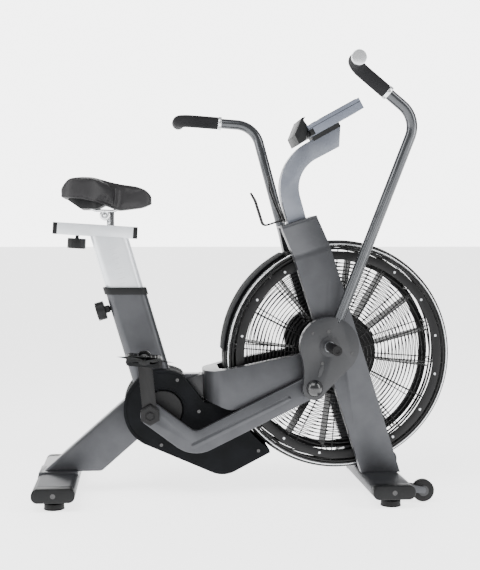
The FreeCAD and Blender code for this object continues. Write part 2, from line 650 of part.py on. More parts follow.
# link rods: bent bars from the crank pins to the handle levers
link_corner = V(110.7, -112.1, 0)
for side, name in ((RIGHT, "right"), (LEFT, "left")):
    pin_x = crank_x + side * throw
    handle_lean = math.radians(size(name + "_lean"))
    ball_x = pivot_x - size("lever_length") * math.sin(handle_lean)
    ball_z = pivot_z - size("lever_length") * math.cos(handle_lean)
    start = V(0, 0, 0)
    end = V(size("link_length"), 0, 0)
    first = (link_corner - start).normalize()
    last = (end - link_corner).normalize()
    line = [start - first * 24, link_corner, end + last * 22]
    body = doc.addObject("PartDesign::Body", "link_" + name)
    outline = strip(line, size("link_width"), 62, 28) + [circle(0, 0, size("pin_radius") + size("running_clearance"))]
    offset = "Sizes.link_inner" if side == RIGHT else "-Sizes.link_inner"
    pad(body, sketch_on(body, "XZ_Plane", outline, offset), "Sizes.link_thickness", backwards=(side == LEFT))
    angle = math.degrees(math.atan2(ball_z - crank_z, ball_x - pin_x))
    place(body, pin_x, 0, crank_z, -angle)
    keep("link_rod_" + name, body)

# jackshaft, fan and belts
belt_w = size("belt_width")
jack = [rod("jack_shaft", "8.5 mm", "110 mm", jack_x, -45, jack_z),
        rod("jack_small", "Sizes.jack_small_radius", "14 mm", jack_x, pulley_y - 7, jack_z),
        rod("jack_big", "Sizes.jack_big_radius", "14 mm", jack_x, fan_belt_y - 7, jack_z)]
keep("jackshaft", fuse("jackshaft", jack))


def belt(name, first, first_radius, second, second_radius, y):
    """Flat loop round two pulleys, lying on their rims."""
    first = V(first[0], first[1], 0)
    second = V(second[0], second[1], 0)
    run = second - first
    tilt = math.asin((first_radius - second_radius) / run.Length)
    heading = math.atan2(run.y, run.x)

    def loop(extra):
        spots = []
        for centre, radius, far in ((first, first_radius + extra, math.pi), (second, second_radius + extra, 0)):
            for angle in (math.pi / 2 - tilt, far, -(math.pi / 2 - tilt)):
                spots.append(centre + V(math.cos(heading + angle), math.sin(heading + angle), 0) * radius)
        edges = [Part.Arc(spots[0], spots[1], spots[2]), Part.LineSegment(spots[2], spots[5]),
                 Part.Arc(spots[5], spots[4], spots[3]), Part.LineSegment(spots[3], spots[0])]
        return edges

    body = doc.addObject("PartDesign::Body", name)
    outline = loop(size("belt_thickness") + 0.3) + loop(0.3)
    pad(body, sketch_on(body, "XZ_Plane", outline, "%s mm" % -(y - belt_w / 2)), "Sizes.belt_width", backwards=True)
    return place(body)


crank_belt = belt("crank_belt", (crank_x, crank_z), size("crank_pulley_radius"),
                  (jack_x, jack_z), size("jack_small_radius"), pulley_y)
fan_belt = belt("fan_belt", (jack_x, jack_z), size("jack_big_radius"),
                (0, fan_z), size("fan_pulley_radius"), fan_belt_y)
keep("drive_belts", group("drive_belts", [crank_belt, fan_belt]))

spindle_half = leg_out
spindle = rod("fan_spindle_bar", "Sizes.spindle_radius", "2 * (Sizes.leg_inner + Sizes.leg_thickness)",
              0, -spindle_half, fan_z)
keep("fan_spindle", spindle)
half_width = size("blade_half_width")
hub = rod("fan_hub", "Sizes.hub_radius", "%s mm" % (2 * half_width + 20), 0, -half_width - 2, fan_z)
fan_pulley = rod("fan_pulley", "Sizes.fan_pulley_radius", "14 mm", 0, fan_belt_y - 7, fan_z)
web = rod("fan_web", "Sizes.blade_root + 6", "4 mm", 0, -2, fan_z)
fan_pieces = [hub, fan_pulley, web]
for number in range(int(size("blade_count"))):
    angle = 360 / size("blade_count") * number + 8
    blade = doc.addObject("Part::Box", "blade")
    blade.setExpression("Length", "Sizes.blade_tip - Sizes.blade_root")
    blade.setExpression("Width", "2 * Sizes.blade_half_width")
    blade.Height = 3
    turn = FreeCAD.Rotation(SIDE, angle)
    blade.Placement = FreeCAD.Placement(V(mid_shift, 0, fan_z) + turn.multVec(V(size("blade_root"), -half_width, -1.5)), turn)
    fan_pieces.append(blade)
fan_solid = fuse("fan_solid", fan_pieces)
fan_bore = rod("fan_bore", "Sizes.spindle_radius + Sizes.running_clearance", "200 mm", 0, -100, fan_z)
keep("fan_wheel", cut("fan_wheel", fan_solid, fan_bore))

# guard: two grilles, the rim wires between them and the solid wind guard behind
cage = size("cage_half")
wire = size("wire_radius")
ring_wire = size("ring_radius")
for side, name in ((RIGHT, "fan_cage_right"), (LEFT, "fan_cage_left")):
    y = side * (cage - wire)
    flat_ring = 2 * wire

    def annulus(inner, outer, middle_y):
        disc = Part.makeCylinder(outer, flat_ring, V(0, middle_y - wire, 0), SIDE)
        return disc.cut(Part.makeCylinder(inner, flat_ring, V(0, middle_y - wire, 0), SIDE))

    pieces = [annulus(size("grille_band_inner"), size("grille_band_outer"), y),
              annulus(size("spindle_radius") + gap, size("grille_inner"), y)]
    ring_count = 9
    step = (size("grille_band_inner") - size("grille_inner")) / (ring_count + 1)
    for number in range(ring_count):
        middle = size("grille_inner") + step * (number + 1)
        pieces.append(annulus(middle - wire, middle + wire, y))
    inner_y = y - side * flat_ring
    for number in range(8):
        turn = FreeCAD.Rotation(SIDE, 45 * number + 22.5)
        reach = size("grille_band_inner") - size("grille_inner") + 16
        spoke = Part.makeBox(reach, flat_ring, flat_ring)
        corner = turn.multVec(V(size("grille_inner") - 8, inner_y - wire, -wire))
        spoke.Placement = FreeCAD.Placement(corner, turn)
        pieces.append(spoke)
    keep(name, shaped(name, Part.makeCompound(pieces), 0, 0, fan_z))

rim = []
for radius, y in ((size("fan_radius") - ring_wire, 14), (size("fan_radius") - ring_wire, 42),
                  (size("fan_radius") - 18, 68)):
    for side in (RIGHT, LEFT):
        rim.append(tube_ring(radius, ring_wire, side * y))
keep("fan_rim_rings", shaped("fan_rim_rings", Part.makeCompound(rim), 0, 0, fan_z))

guard_arc_start = math.radians(118)
guard_arc_end = math.radians(178)
guard_edges = []
for radius, flip in ((size("fan_radius") + 3, 1), (size("fan_radius") + 0.5, -1)):
    spots = [flat(radius * math.cos(angle), radius * math.sin(angle))
             for angle in (guard_arc_start, (guard_arc_start + guard_arc_end) / 2, guard_arc_end)]
    guard_edges.append((spots[0], Part.Arc(spots[0], spots[1], spots[2]), spots[2]))
guard_outline = [guard_edges[0][1], Part.LineSegment(guard_edges[0][2], guard_edges[1][2]),
                 guard_edges[1][1], Part.LineSegment(guard_edges[1][0], guard_edges[0][0])]
wind_guard = middle_plate("wind_guard_sheet", guard_outline, "140 mm")
place(wind_guard, 0, 0, fan_z)
keep("wind_guard", cut("wind_guard", wind_guard, fork))

# ---------------------------------------------------------------- handles, levers and foot pegs

stub_end = size("stub_end")
stubs = []
pegs = []
for side in (RIGHT, LEFT):
    low = leg_in if side == LEFT else -stub_end
    stubs.append(rod("pivot_stub", "Sizes.stub_radius", "Sizes.stub_end - Sizes.leg_inner", pivot_x, low, pivot_z))
    low = stub_end if side == LEFT else -size("peg_end")
    peg = rod("peg_bar", "Sizes.peg_radius", "Sizes.peg_end - Sizes.stub_end", pivot_x, low, pivot_z)
    low = size("peg_end") - 30 if side == LEFT else -size("peg_end")
    pegs.append(cut("foot_peg", peg, rod("peg_hole", "5 mm", "30 mm", pivot_x, low, pivot_z)))
keep("pivot_stubs", group("pivot_stubs", stubs))
keep("foot_pegs", group("foot_pegs", pegs))

lever_in = link_out + size("lever_gap")
lever_thick = size("lever_thickness")
lever_mid = lever_in + lever_thick / 2
bar_x = size("bar_flare")
hub_outer = 27


def handle_pieces(name, side):
    """Handle in its upright pose about the pivot: bar, lever, grip, trim and cover."""
    lean = size(name + "_lean")
    angle = math.radians(size("grip_angle"))
    grip_line = V(-math.sin(angle), 0, math.cos(angle))
    root = V(0, side * lever_mid, hub_outer - 3)
    corner = V(5, side * (lever_mid + size("bar_flare")), size("bar_rise"))
    elbow = corner + grip_line * size("grip_run") + V(0, side * 5, 0)
    tip = elbow + V(0, side * size("grip_out"), 0)
    bends = [0, size("bar_bend"), size("elbow_bend"), 0]
    solid = pipe([root, corner, elbow, tip], bends, size("bar_radius"))
    bore = pipe([root, corner, elbow, tip], bends, size("bar_radius") - size("bar_wall"))
    bar = solid.cut(bore)
    grip_run = (elbow - corner).normalize()
    low = side * lever_in if side == LEFT else -lever_in - lever_thick
    hub = Part.makeCylinder(hub_outer, lever_thick, V(0, low, 0), SIDE)
    reach = size("lever_length")
    web = Part.makeBox(36, lever_thick, reach, V(-18, low, -reach))
    eye = Part.makeCylinder(18, lever_thick, V(0, low, -reach), SIDE)
    hole = Part.makeCylinder(size("stub_radius") + size("running_clearance"), lever_thick, V(0, low, 0), SIDE)
    lever = hub.fuse([web, eye]).cut(hole)
    handle = lever.fuse(bar.cut(Part.makeCylinder(hub_outer - 1, 80, V(0, low - 31, 0), SIDE)))
    keep("handle_" + name, shaped("handle_" + name, handle.removeSplitter(), pivot_x, 0, pivot_z, lean))

    collar_start = corner + grip_run * 106
    grip_start = collar_start + grip_run * 11
    long_grip = pipe([grip_start, elbow, tip], [0, size("elbow_bend"), 0], size("grip_radius"))
    inner = pipe([grip_start, elbow, tip], [0, size("elbow_bend"), 0], size("bar_radius"))
    keep("grip_" + name, shaped("grip_" + name, long_grip.cut(inner), pivot_x, 0, pivot_z, lean))

    collar = Part.makeCylinder(size("grip_radius") + 1.5, 10.6, collar_start, grip_run)
    collar = collar.cut(Part.makeCylinder(size("bar_radius") + 0.02, 10.6, collar_start, grip_run))
    cap = Part.makeCylinder(size("grip_radius") + 1.5, 9, tip + V(0, side * 0.1, 0), SIDE * side)
    keep("handle_trim_" + name, shaped("handle_trim_" + name, Part.makeCompound([collar, cap]),
                                       pivot_x, 0, pivot_z, lean))
    return lean


def cover_outline(shrink):
    """Round housing over the hub that narrows to a lobe over the lever's end."""
    big = size("cover_radius") - shrink
    lobe = 34 - shrink
    reach = size("lever_length")
    spread = math.radians(58)
    start = flat(-big * math.sin(spread), -big * math.cos(spread))
    end = flat(big * math.sin(spread), -big * math.cos(spread))
    lobe_left = flat(-lobe, -reach)
    lobe_right = flat(lobe, -reach)
    waist = (lobe_left + start) * 0.5 + flat(6, 0)
    return [Part.Arc(start, flat(0, big), end), Part.LineSegment(end, lobe_right),
            Part.Arc(lobe_right, flat(0, -reach - lobe), lobe_left), Part.Arc(lobe_left, waist, start)]


cover_out = lever_in + lever_thick + 12
for side, name in ((RIGHT, "right"), (LEFT, "left")):
    lean_angle = handle_pieces(name, side)
    cover = doc.addObject("PartDesign::Body", "cover_" + name)
    offset = "%s mm" % (lever_in if side == RIGHT else -lever_in)
    pad(cover, sketch_on(cover, "XZ_Plane", cover_outline(0), offset), "%s mm" % (cover_out - lever_in),
        backwards=(side == LEFT))
    place(cover, pivot_x, 0, pivot_z, lean_angle)
    hollow = doc.addObject("PartDesign::Body", "cover_hollow_" + name)
    offset = "%s mm" % ((lever_in - 1) if side == RIGHT else -(lever_in - 1))
    pad(hollow, sketch_on(hollow, "XZ_Plane", cover_outline(4), offset), "%s mm" % (lever_thick + 9),
        backwards=(side == LEFT))
    place(hollow, pivot_x, 0, pivot_z, lean_angle)
    peg_hole = rod("cover_peg_hole", "Sizes.stub_radius + 1", "80 mm", pivot_x,
                   side * (lever_in + 30) - 40, pivot_z)
    bar_turn = FreeCAD.Rotation(SIDE, lean_angle)
    bar_room = rod("cover_bar_room", "Sizes.bar_radius + 2.5", "80 mm", 0, 0, 0, UP)
    flare = math.degrees(math.atan2(size("bar_flare"), size("bar_rise")))
    room_turn = bar_turn.multiply(FreeCAD.Rotation(V(1, 0, 0), -side * flare))
    root = V(pivot_x + mid_shift, side * lever_mid, pivot_z) + bar_turn.multVec(V(0, 0, 36))
    bar_room.Placement = FreeCAD.Placement(root, room_turn)
    shell = cut("cover_hollowed_" + name, cover, hollow)
    shell = cut("cover_bored_" + name, shell, peg_hole)
    shell = cut("cover_roomed_" + name, shell, bar_room)
    ball = doc.addObject("Part::Sphere", "ball_cap")
    ball.setExpression("Radius", "Sizes.ball_radius")
    reach = bar_turn.multVec(V(0, 0, -size("lever_length")))
    ball.Placement.Base = V(pivot_x + mid_shift, side * (cover_out - 6), pivot_z) + reach
    ball_trim = block("ball_trim", "600 mm", "%s mm" % (2 * (cover_out - 2)), "600 mm", pivot_x - 300, 0, pivot_z - 300)
    keep("lever_cover_" + name, fuse("lever_cover_" + name, [shell, cut("ball_half", ball, ball_trim)]))

# ---------------------------------------------------------------- seat

post_wide = tube_width - 2 * seat_wall - 2 * size("post_clearance")
post_thick = tube_thick - 2 * seat_wall - 2 * size("post_clearance")
post_raw = oval_tube("post_raw", post_wide, post_thick, size("post_wall"), "Sizes.post_length")
post_base = V(seat_x, 0, seat_z) + seat_up * size("post_rest")
place(post_raw, post_base.x, 0, post_base.z, -size("seat_lean"))
post_top = post_base + seat_up * size("rail_rise")
tilt = size("rail_tilt")
rail_spin = FreeCAD.Rotation(SIDE, tilt)
rail_end = 13
rail_start = V(post_top.x - 153, 0, post_top.z + 30)
rail_outer = block("rail_outer", "Sizes.rail_length - 26", "Sizes.rail_width", "Sizes.rail_height",
                   rail_start.x, 0, rail_start.z - size("rail_height") / 2, tilt)
rail_wall = size("rail_wall")


def in_rail(along, up):
    """A spot in the slider rail, from the middle of its rear end."""
    return V(rail_start.x, 0, rail_start.z - size("rail_height") / 2) + rail_spin.multVec(V(along, 0, up))


spot = in_rail(0, rail_wall)
rail_hollow = block("rail_hollow", "Sizes.rail_length - 26", "Sizes.rail_width - 2 * Sizes.rail_wall",
                    "Sizes.rail_height - 2 * Sizes.rail_wall", spot.x, 0, spot.z, tilt)
stem_along = 154
slot_half = 52
spot = in_rail(stem_along - slot_half, size("rail_height") - 6)
rail_slot = block("rail_slot", "%d mm" % (2 * slot_half), "24 mm", "10 mm", spot.x, 0, spot.z, tilt)
spot = in_rail(0, -60)
post_trim = block("post_trim", "400 mm", "200 mm", "60 mm", spot.x, 0, spot.z, tilt)
post_cut = doc.addObject("Part::MultiCommon", "post_cut")
spot = in_rail(-100, -600)
below = block("below_rail", "600 mm", "200 mm", "600 mm", spot.x, 0, spot.z, tilt)
post_cut.Shapes = [post_raw, below]
rail_open = cut("rail_open", cut("rail_tube", rail_outer, rail_hollow), rail_slot)
knob_along = 58
spot = in_rail(knob_along, -5)
knob_bore = rod("knob_bore", "5.05 mm", "20 mm", spot.x, 0, spot.z, rail_spin.multVec(UP))
keep("seat_post", cut("seat_post", fuse("post_and_rail", [post_cut, rail_open]), knob_bore))

ends = []
for along, name in ((-rail_end, "rear"), (size("rail_length") - 2 * rail_end, "front")):
    spot = in_rail(along, 0)
    ends.append(block("rail_end_" + name, "%d mm" % rail_end, "Sizes.rail_width", "Sizes.rail_height",
                      spot.x, 0, spot.z, tilt))
keep("rail_end_caps", group("rail_end_caps", ends))

# sliding carriage with the saddle stem
spot = in_rail(stem_along - 34, rail_wall + gap)
carriage = block("carriage", "68 mm", "Sizes.rail_width - 2 * Sizes.rail_wall - 0.8",
                 "Sizes.rail_height - 2 * Sizes.rail_wall - 0.8", spot.x, 0, spot.z, tilt)
spot = in_rail(stem_along, size("rail_height") - 8)
stem = rod("stem", "Sizes.stem_radius", "48 mm", spot.x, 0, spot.z, UP)
clamp_spot = V(spot.x - 16, 0, spot.z + 38)
head = rod("stem_head", "15 mm", "24 mm", clamp_spot.x, -12, clamp_spot.z)
pivot_bolt = rod("clamp_bolt", "5 mm", "52 mm", clamp_spot.x, -26, clamp_spot.z)
keep("saddle_stem", fuse("saddle_stem", [carriage, stem, head, pivot_bolt]))

# saddle: clamp cheeks and rails, base shell, padded cover
rail_y = 20
cheeks = []
for side in (RIGHT, LEFT):
    low = 12.4 if side == LEFT else -12.4 - 10
    plate = rod("clamp_cheek", "15 mm", "10 mm", clamp_spot.x, low, clamp_spot.z)
    hole = rod("clamp_hole", "5.05 mm", "10 mm", clamp_spot.x, low, clamp_spot.z)
    cheek = cut("clamp_cheek_bored", plate, hole)
    rail_points = [V(clamp_spot.x - 64, side * 34, clamp_spot.z + 38), V(clamp_spot.x - 34, side * rail_y, clamp_spot.z + 14),
                   V(clamp_spot.x + 30, side * rail_y, clamp_spot.z + 12), V(clamp_spot.x + 62, side * 12, clamp_spot.z + 40)]
    wire_rail = shaped("saddle_wire", pipe(rail_points, [0, 26, 26, 0], 3.5))
    cheeks.append(fuse("saddle_rail", [cheek, wire_rail]))
saddle_back = clamp_spot.x - 122
saddle_low = clamp_spot.z + 14


def saddle_side(points):
    body = doc.addObject("PartDesign::Body", "saddle_side")
    outline = rounded([flat(saddle_back + along, saddle_low + up) for along, up, _ in points],
                      [bend for _, _, bend in points])
    pad(body, sketch_on(body, "XZ_Plane", outline), "400 mm", middle=True)
    return place(body)


def saddle_plan(half, front, inset):
    body = doc.addObject("PartDesign::Body", "saddle_plan")
    length = size("saddle_length")
    corners = [V(saddle_back + inset, -half, 0), V(saddle_back + length * 0.34, -half, 0),
               V(saddle_back + length * 0.62, -front, 0), V(saddle_back + length - inset, -front * 0.8, 0),
               V(saddle_back + length - inset, front * 0.8, 0), V(saddle_back + length * 0.62, front, 0),
               V(saddle_back + length * 0.34, half, 0), V(saddle_back + inset, half, 0)]
    bends = [half * 0.45, half * 0.5, 60, front * 0.7, front * 0.7, 60, half * 0.5, half * 0.45]
    pad(body, sketch_on(body, "XY_Plane", rounded(corners, bends)), "1500 mm")
    return place(body)


cover_side = saddle_side([(2, 34, 6), (0, 56, 12), (24, 88, 24), (88, 86, 40), (160, 70, 60), (240, 60, 22),
                          (259, 40, 10), (258, 19, 5), (230, 8, 8), (162, 0, 4), (122, 16, 10), (60, 30, 10)])
cover = doc.addObject("Part::MultiCommon", "saddle_cover")
cover.Shapes = [cover_side, saddle_plan(size("saddle_half_width"), 34, 0)]
keep("saddle_cover", cover)
base_side = saddle_side([(14, 31, 3), (54, 3, 6), (100, 3, 5), (128, 17, 6), (160, 10, 4), (228, 12, 4), (228, 30, 4),
                         (100, 40, 4)])
base_raw = doc.addObject("Part::MultiCommon", "saddle_base_raw")
base_raw.Shapes = [base_side, saddle_plan(size("saddle_half_width") * 0.82, 20, 12)]
base = cut("saddle_base", base_raw, cover)
keep("saddle_base", base)
keep("saddle_rails", cut("saddle_rails", cut("rails_less_base", group("saddle_rails_pair", cheeks), base), cover))

# knobs
knob_turn = FreeCAD.Rotation(UP, seat_back)
face = V(seat_x, 0, seat_z) + seat_up * knob_rise + seat_back * (tube_width / 2)
begin = face - seat_back * (seat_wall - 0.2)
height_pin = rod("height_pin", "6 mm", "24 mm", begin.x, 0, begin.z, seat_back)
begin = face + seat_back * 2
height_sleeve = rod("height_sleeve", "11 mm", "16 mm", begin.x, 0, begin.z, seat_back)
begin = face + seat_back * 16
height_grip = rod("height_grip", "27 mm", "26 mm", begin.x, 0, begin.z, seat_back)
keep("height_knob", fuse("height_knob", [height_pin, height_sleeve, height_grip]))
down = rail_spin.multVec(UP) * -1
top = in_rail(knob_along, rail_wall - 0.2)
screw = rod("slider_screw", "5 mm", "22 mm", top.x, 0, top.z, down)
top = in_rail(knob_along, -9)
slider_grip = rod("slider_grip", "26 mm", "30 mm", top.x, 0, top.z, down)
keep("slider_knob", fuse("slider_knob", [screw, slider_grip]))

# ---------------------------------------------------------------- console and bottle cage

slab_run = V(math.cos(math.radians(29)), 0, math.sin(math.radians(29)))
slab_up = V(-slab_run.z, 0, slab_run.x)
slab_turn = -29
slab_start = V(-83, 0, 1050)
slab = block("console_slab", "173 mm", "2 * Sizes.console_half_width", "34 mm", slab_start.x, 0, slab_start.z, slab_turn)
bracket_start = slab_start + slab_run * 8 - slab_up * 14
plate = block("console_foot", "92 mm", "64 mm", "14 mm", bracket_start.x, 0, bracket_start.z, slab_turn)
button_spots = []
for along, y in ((30, -36), (30, 0), (30, 36)):
    button_spots.append(slab_start + slab_run * along + slab_up * 34 + V(0, y, 0))
housing = fuse("console_raw", [slab, plate])
for number, spot in enumerate(button_spots):
    well = spot - slab_up * 6
    housing = cut("console_well_%d" % number, housing,
                  rod("button_well", "9.3 mm", "8 mm", well.x, well.y, well.z, slab_up))
housing = cut("console_less_mast", housing, subparts["mast"])
keep("console_housing", housing)
for number, (spot, name) in enumerate(zip(button_spots, ("button_right", "button_middle", "button_left"))):
    low = spot - slab_up * 3.5
    keep(name, rod(name, "9 mm", "5.5 mm", low.x, low.y, low.z, slab_up))
tray_outline = rounded([flat(-121, 1027), flat(-134, 1054), flat(-114, 1104), flat(-103, 1108), flat(-108, 1098),
                        flat(-94, 1078), flat(-102, 1038)], 0)
tray = middle_plate("tray_block", tray_outline, "156 mm")
place(tray)
tray_cut = cut("tray_less_console", tray, slab)
keep("tablet_holder", cut("tablet_holder", tray_cut, plate))

cage_x = -186
cage_z = 795
radius = size("bottle_radius")
wire_size = size("cage_wire")
cage_lean = FreeCAD.Rotation(SIDE, -17.6)
loops = []
for half in (RIGHT, LEFT):
    y = half * 16
    route = [V(32, y, 4), V(-radius - 8, y, 4), V(-radius - 8, y, 84), V(-radius - 14, y * 0.4, 110)]
    loops.append(pipe(route, [0, 12, 14, 0], wire_size))
    y = half * 24
    route = [V(30, y, -2), V(24, y, 50), V(22, y * 1.1, 100), V(29, y * 0.3, 142)]
    loops.append(pipe(route, [0, 30, 20, 0], wire_size))
floor_bar = Part.makeCylinder(wire_size, 70, V(-10, -35, 4), SIDE)
plate_back = Part.makeBox(4, 46, 60, V(30, -23, -4))
cage_solid = Part.makeCompound(loops[:1]).fuse(loops[1:] + [floor_bar, plate_back])
cage_feature = shaped("bottle_cage", cage_solid)
cage_feature.Placement = FreeCAD.Placement(V(cage_x + mid_shift, 0, cage_z), cage_lean)
bottle = cut("bottle_cage_cut", cage_feature, subparts["mast"])
for number, name in enumerate(("front_leg_right", "front_leg_left", "head_cap")):
    bottle = cut("bottle_trim_%d" % number, bottle, subparts[name])
keep("bottle_cage", bottle)

# ---------------------------------------------------------------- check and write

doc.recompute()
for feature in doc.Objects:
    if "Invalid" in feature.State or "Error" in feature.State:
        raise RuntimeError("feature failed: " + feature.Name)
os.makedirs("parts", exist_ok=True)
for name, feature in subparts.items():
    shape = feature.Shape
    if shape.isNull() or not shape.isValid() or not shape.Solids:
        raise RuntimeError("sub-part is not a valid solid: " + name)
    shape.exportStep(os.path.join("parts", name + ".step"))
print("sub-parts written:", len(subparts))
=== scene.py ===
# %% [markdown]
# # An air bike
# The machine is a fan-braked exercise bicycle. Its frame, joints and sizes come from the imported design,
# so every cell below only adds looks: rounded edges, wires, padding and finishes. Nothing is moved.

# %% Load the frame
import json
import math
import bpy
from mathutils import Matrix, Vector


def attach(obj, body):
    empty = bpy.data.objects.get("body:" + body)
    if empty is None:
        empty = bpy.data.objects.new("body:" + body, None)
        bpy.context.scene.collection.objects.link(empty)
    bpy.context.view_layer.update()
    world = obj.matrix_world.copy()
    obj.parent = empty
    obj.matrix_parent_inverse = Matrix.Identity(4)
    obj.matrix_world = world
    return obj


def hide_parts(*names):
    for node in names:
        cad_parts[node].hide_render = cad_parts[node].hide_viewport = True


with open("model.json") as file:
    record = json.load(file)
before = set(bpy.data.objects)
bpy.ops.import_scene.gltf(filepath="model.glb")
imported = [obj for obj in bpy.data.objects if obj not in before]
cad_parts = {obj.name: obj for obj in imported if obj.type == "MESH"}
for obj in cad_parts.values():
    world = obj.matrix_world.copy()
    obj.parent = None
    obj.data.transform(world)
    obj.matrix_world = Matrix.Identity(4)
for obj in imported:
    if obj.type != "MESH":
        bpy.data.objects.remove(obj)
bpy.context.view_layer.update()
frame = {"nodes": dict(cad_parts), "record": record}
nodes = frame["nodes"]
record = frame["record"]
body_of_node = {node: body for body, group in record["behaviour"]["bodies"].items() for node in group}
slot_of_node = {row["node"]: row["material_slot"] for row in record["subparts"]}
scene = bpy.context.scene
print("CAD nodes:", len(nodes))

# %% [markdown]
# ## The camera
# A product picture of a long machine is taken from the side, a little behind its middle, at about table
# height. A long lens keeps the near and far handles close in size.

# %% Camera
lens_mm = 64.6
camera_place = Vector((-0.3065, -3.047, 0.739))
yaw = math.radians(-5.47)
pitch = math.radians(90 - 2.35)
camera_data = bpy.data.cameras.new("camera")
camera_data.lens = lens_mm
camera_data.sensor_width = 36
camera = bpy.data.objects.new("camera", camera_data)
camera.location = camera_place
camera.rotation_euler = (pitch, 0, yaw)
scene.collection.objects.link(camera)
scene.camera = camera

# %% [markdown]
# ## Building materials
# Every finish starts from a Principled shader. One small function adds a node and wires it, and one turns
# the hex colours used by paint makers into the linear values that Blender works with.

# %% Material helpers
MM = 0.001


def hex_colour(code):
    """sRGB hex colour to linear RGBA."""
    channels = [int(code[at:at + 2], 16) / 255 for at in (0, 2, 4)]
    linear = [value / 12.92 if value <= 0.04045 else ((value + 0.055) / 1.055) ** 2.4 for value in channels]
    return (*linear, 1.0)


def add_node(tree, kind, settings=None, links=None):
    """Add one node; settings are attributes or input values, links go from sockets into its inputs."""
    node = tree.nodes.new(kind)
    for key, setting in (settings or {}).items():
        if key in node.inputs:
            node.inputs[key].default_value = setting
        else:
            setattr(node, key, setting)
    for key, socket in (links or {}).items():
        tree.links.new(socket, node.inputs[key])
    return node


def new_material(name, colour, **sockets):
    """A Principled material; the sockets are given by name with spaces as underscores."""
    material = bpy.data.materials.new(name)
    material.use_nodes = True
    shader = material.node_tree.nodes["Principled BSDF"]
    shader.inputs["Base Color"].default_value = hex_colour(colour)
    for key, setting in sockets.items():
        shader.inputs[key.replace("_", " ")].default_value = setting
    return material


def grained(material, size_mm, depth_mm, low, high, light=None, dark=None, stretch=(1, 1, 1), detail=2.0):
    """Noise of a real size drives bump, a spread of roughness and, if given, two colours."""
    tree = material.node_tree
    shader = tree.nodes["Principled BSDF"]
    place = add_node(tree, "ShaderNodeTexCoord")
    scaled = add_node(tree, "ShaderNodeMapping", {"Scale": stretch}, {"Vector": place.outputs["Object"]})
    noise = add_node(tree, "ShaderNodeTexNoise", {"Scale": 1 / (size_mm * MM), "Detail": detail},
                     {"Vector": scaled.outputs["Vector"]})
    spread = add_node(tree, "ShaderNodeMapRange", {"To Min": low, "To Max": high},
                      {"Value": noise.outputs["Fac"]})
    tree.links.new(spread.outputs["Result"], shader.inputs["Roughness"])
    bump = add_node(tree, "ShaderNodeBump", {"Strength": 0.6, "Distance": depth_mm * MM},
                    {"Height": noise.outputs["Fac"]})
    tree.links.new(bump.outputs["Normal"], shader.inputs["Normal"])
    if light and dark:
        cloud = add_node(tree, "ShaderNodeTexNoise", {"Scale": 1 / (60 * MM), "Detail": 3.0},
                         {"Vector": place.outputs["Object"]})
        ramp = add_node(tree, "ShaderNodeValToRGB", None, {"Fac": cloud.outputs["Fac"]})
        ramp.color_ramp.elements[0].position = 0.35
        ramp.color_ramp.elements[1].position = 0.65
        ramp.color_ramp.elements[0].color = hex_colour(dark)
        ramp.color_ramp.elements[1].color = hex_colour(light)
        tree.links.new(ramp.outputs["Color"], shader.inputs["Base Color"])
    return material


# %% [markdown]
# ## Finishes
# The frame is steel with a dark metallic powder coat: fine sparkle, soft wide highlights. The seat post is
# satin anodised aluminium, the handles are a darker glossy coat, and the covers are moulded black ABS.

# %% Metal finishes
powder_coat = grained(new_material("gunmetal_powder_coat", "434447", Metallic=0.72, Coat_Weight=0.08,
                                   Coat_Roughness=0.25), 1.2, 0.04, 0.38, 0.46, "46474a", "404144")
mast_coat = grained(new_material("silver_grey_coat", "6d717a", Metallic=0.5, Coat_Weight=0.2), 1.2, 0.05,
                    0.36, 0.44, "73777f", "676b74")
handle_coat = grained(new_material("graphite_gloss_coat", "404245", Metallic=0.8, Coat_Weight=0.6,
                                   Coat_Roughness=0.08), 1.0, 0.02, 0.2, 0.28, "444649", "3c3e41")
anodised = grained(new_material("anodised_aluminium", "dadde1", Metallic=0.45), 2.0, 0.02, 0.3, 0.42,
                   "dee1e5", "d4d8dc", stretch=(1, 1, 0.08))
chrome = grained(new_material("chrome_plate", "e4e6e8", Metallic=0.85), 8.0, 0.01, 0.18, 0.26)
machined = grained(new_material("machined_steel", "a3a6aa", Metallic=1.0), 1.0, 0.03, 0.26, 0.4,
                   stretch=(1, 6, 1))
black_coat = grained(new_material("black_powder_coat", "0d0d0e", Metallic=0.1, Specular_IOR_Level=0.25), 0.9, 0.05,
                     0.32, 0.44, "111112", "0b0b0c")
rivet_metal = grained(new_material("aluminium_rivet", "c6c8cb", Metallic=0.9), 2.0, 0.02, 0.25, 0.4)

# %% Plastic and rubber finishes
black_abs = grained(new_material("moulded_black_abs", "111214", Specular_IOR_Level=0.22), 0.8, 0.08, 0.42, 0.56,
                    "121314", "0c0d0e")
satin_abs = grained(new_material("satin_grey_abs", "202226", Specular_IOR_Level=0.4, Coat_Weight=0.15,
                                 Coat_Roughness=0.3),
                    0.8, 0.05, 0.34, 0.44, "202124", "191a1d")
gloss_abs = grained(new_material("gloss_black_cap", "101113", Specular_IOR_Level=0.5, Coat_Weight=0.4,
                                 Coat_Roughness=0.2), 6.0, 0.01, 0.22, 0.3)
console_abs = grained(new_material("console_grey_abs", "5f6470", IOR=1.53, Metallic=0.15), 0.8, 0.04, 0.36,
                      0.46, "646975", "5a5f6b")
foam = grained(new_material("closed_cell_foam", "151517", Specular_IOR_Level=0.2), 1.6, 0.35, 0.72, 0.86,
               "18181a", "121214", detail=4.0)
rubber = grained(new_material("moulded_rubber", "0c0c0c", Specular_IOR_Level=0.25), 1.2, 0.1, 0.55, 0.7,
                 "0e0e0f", "0a0a0a")
vinyl = grained(new_material("soft_saddle_vinyl", "151416", Specular_IOR_Level=0.35),
                2.2, 0.25, 0.42, 0.56, "19181a", "131214", detail=5.0)
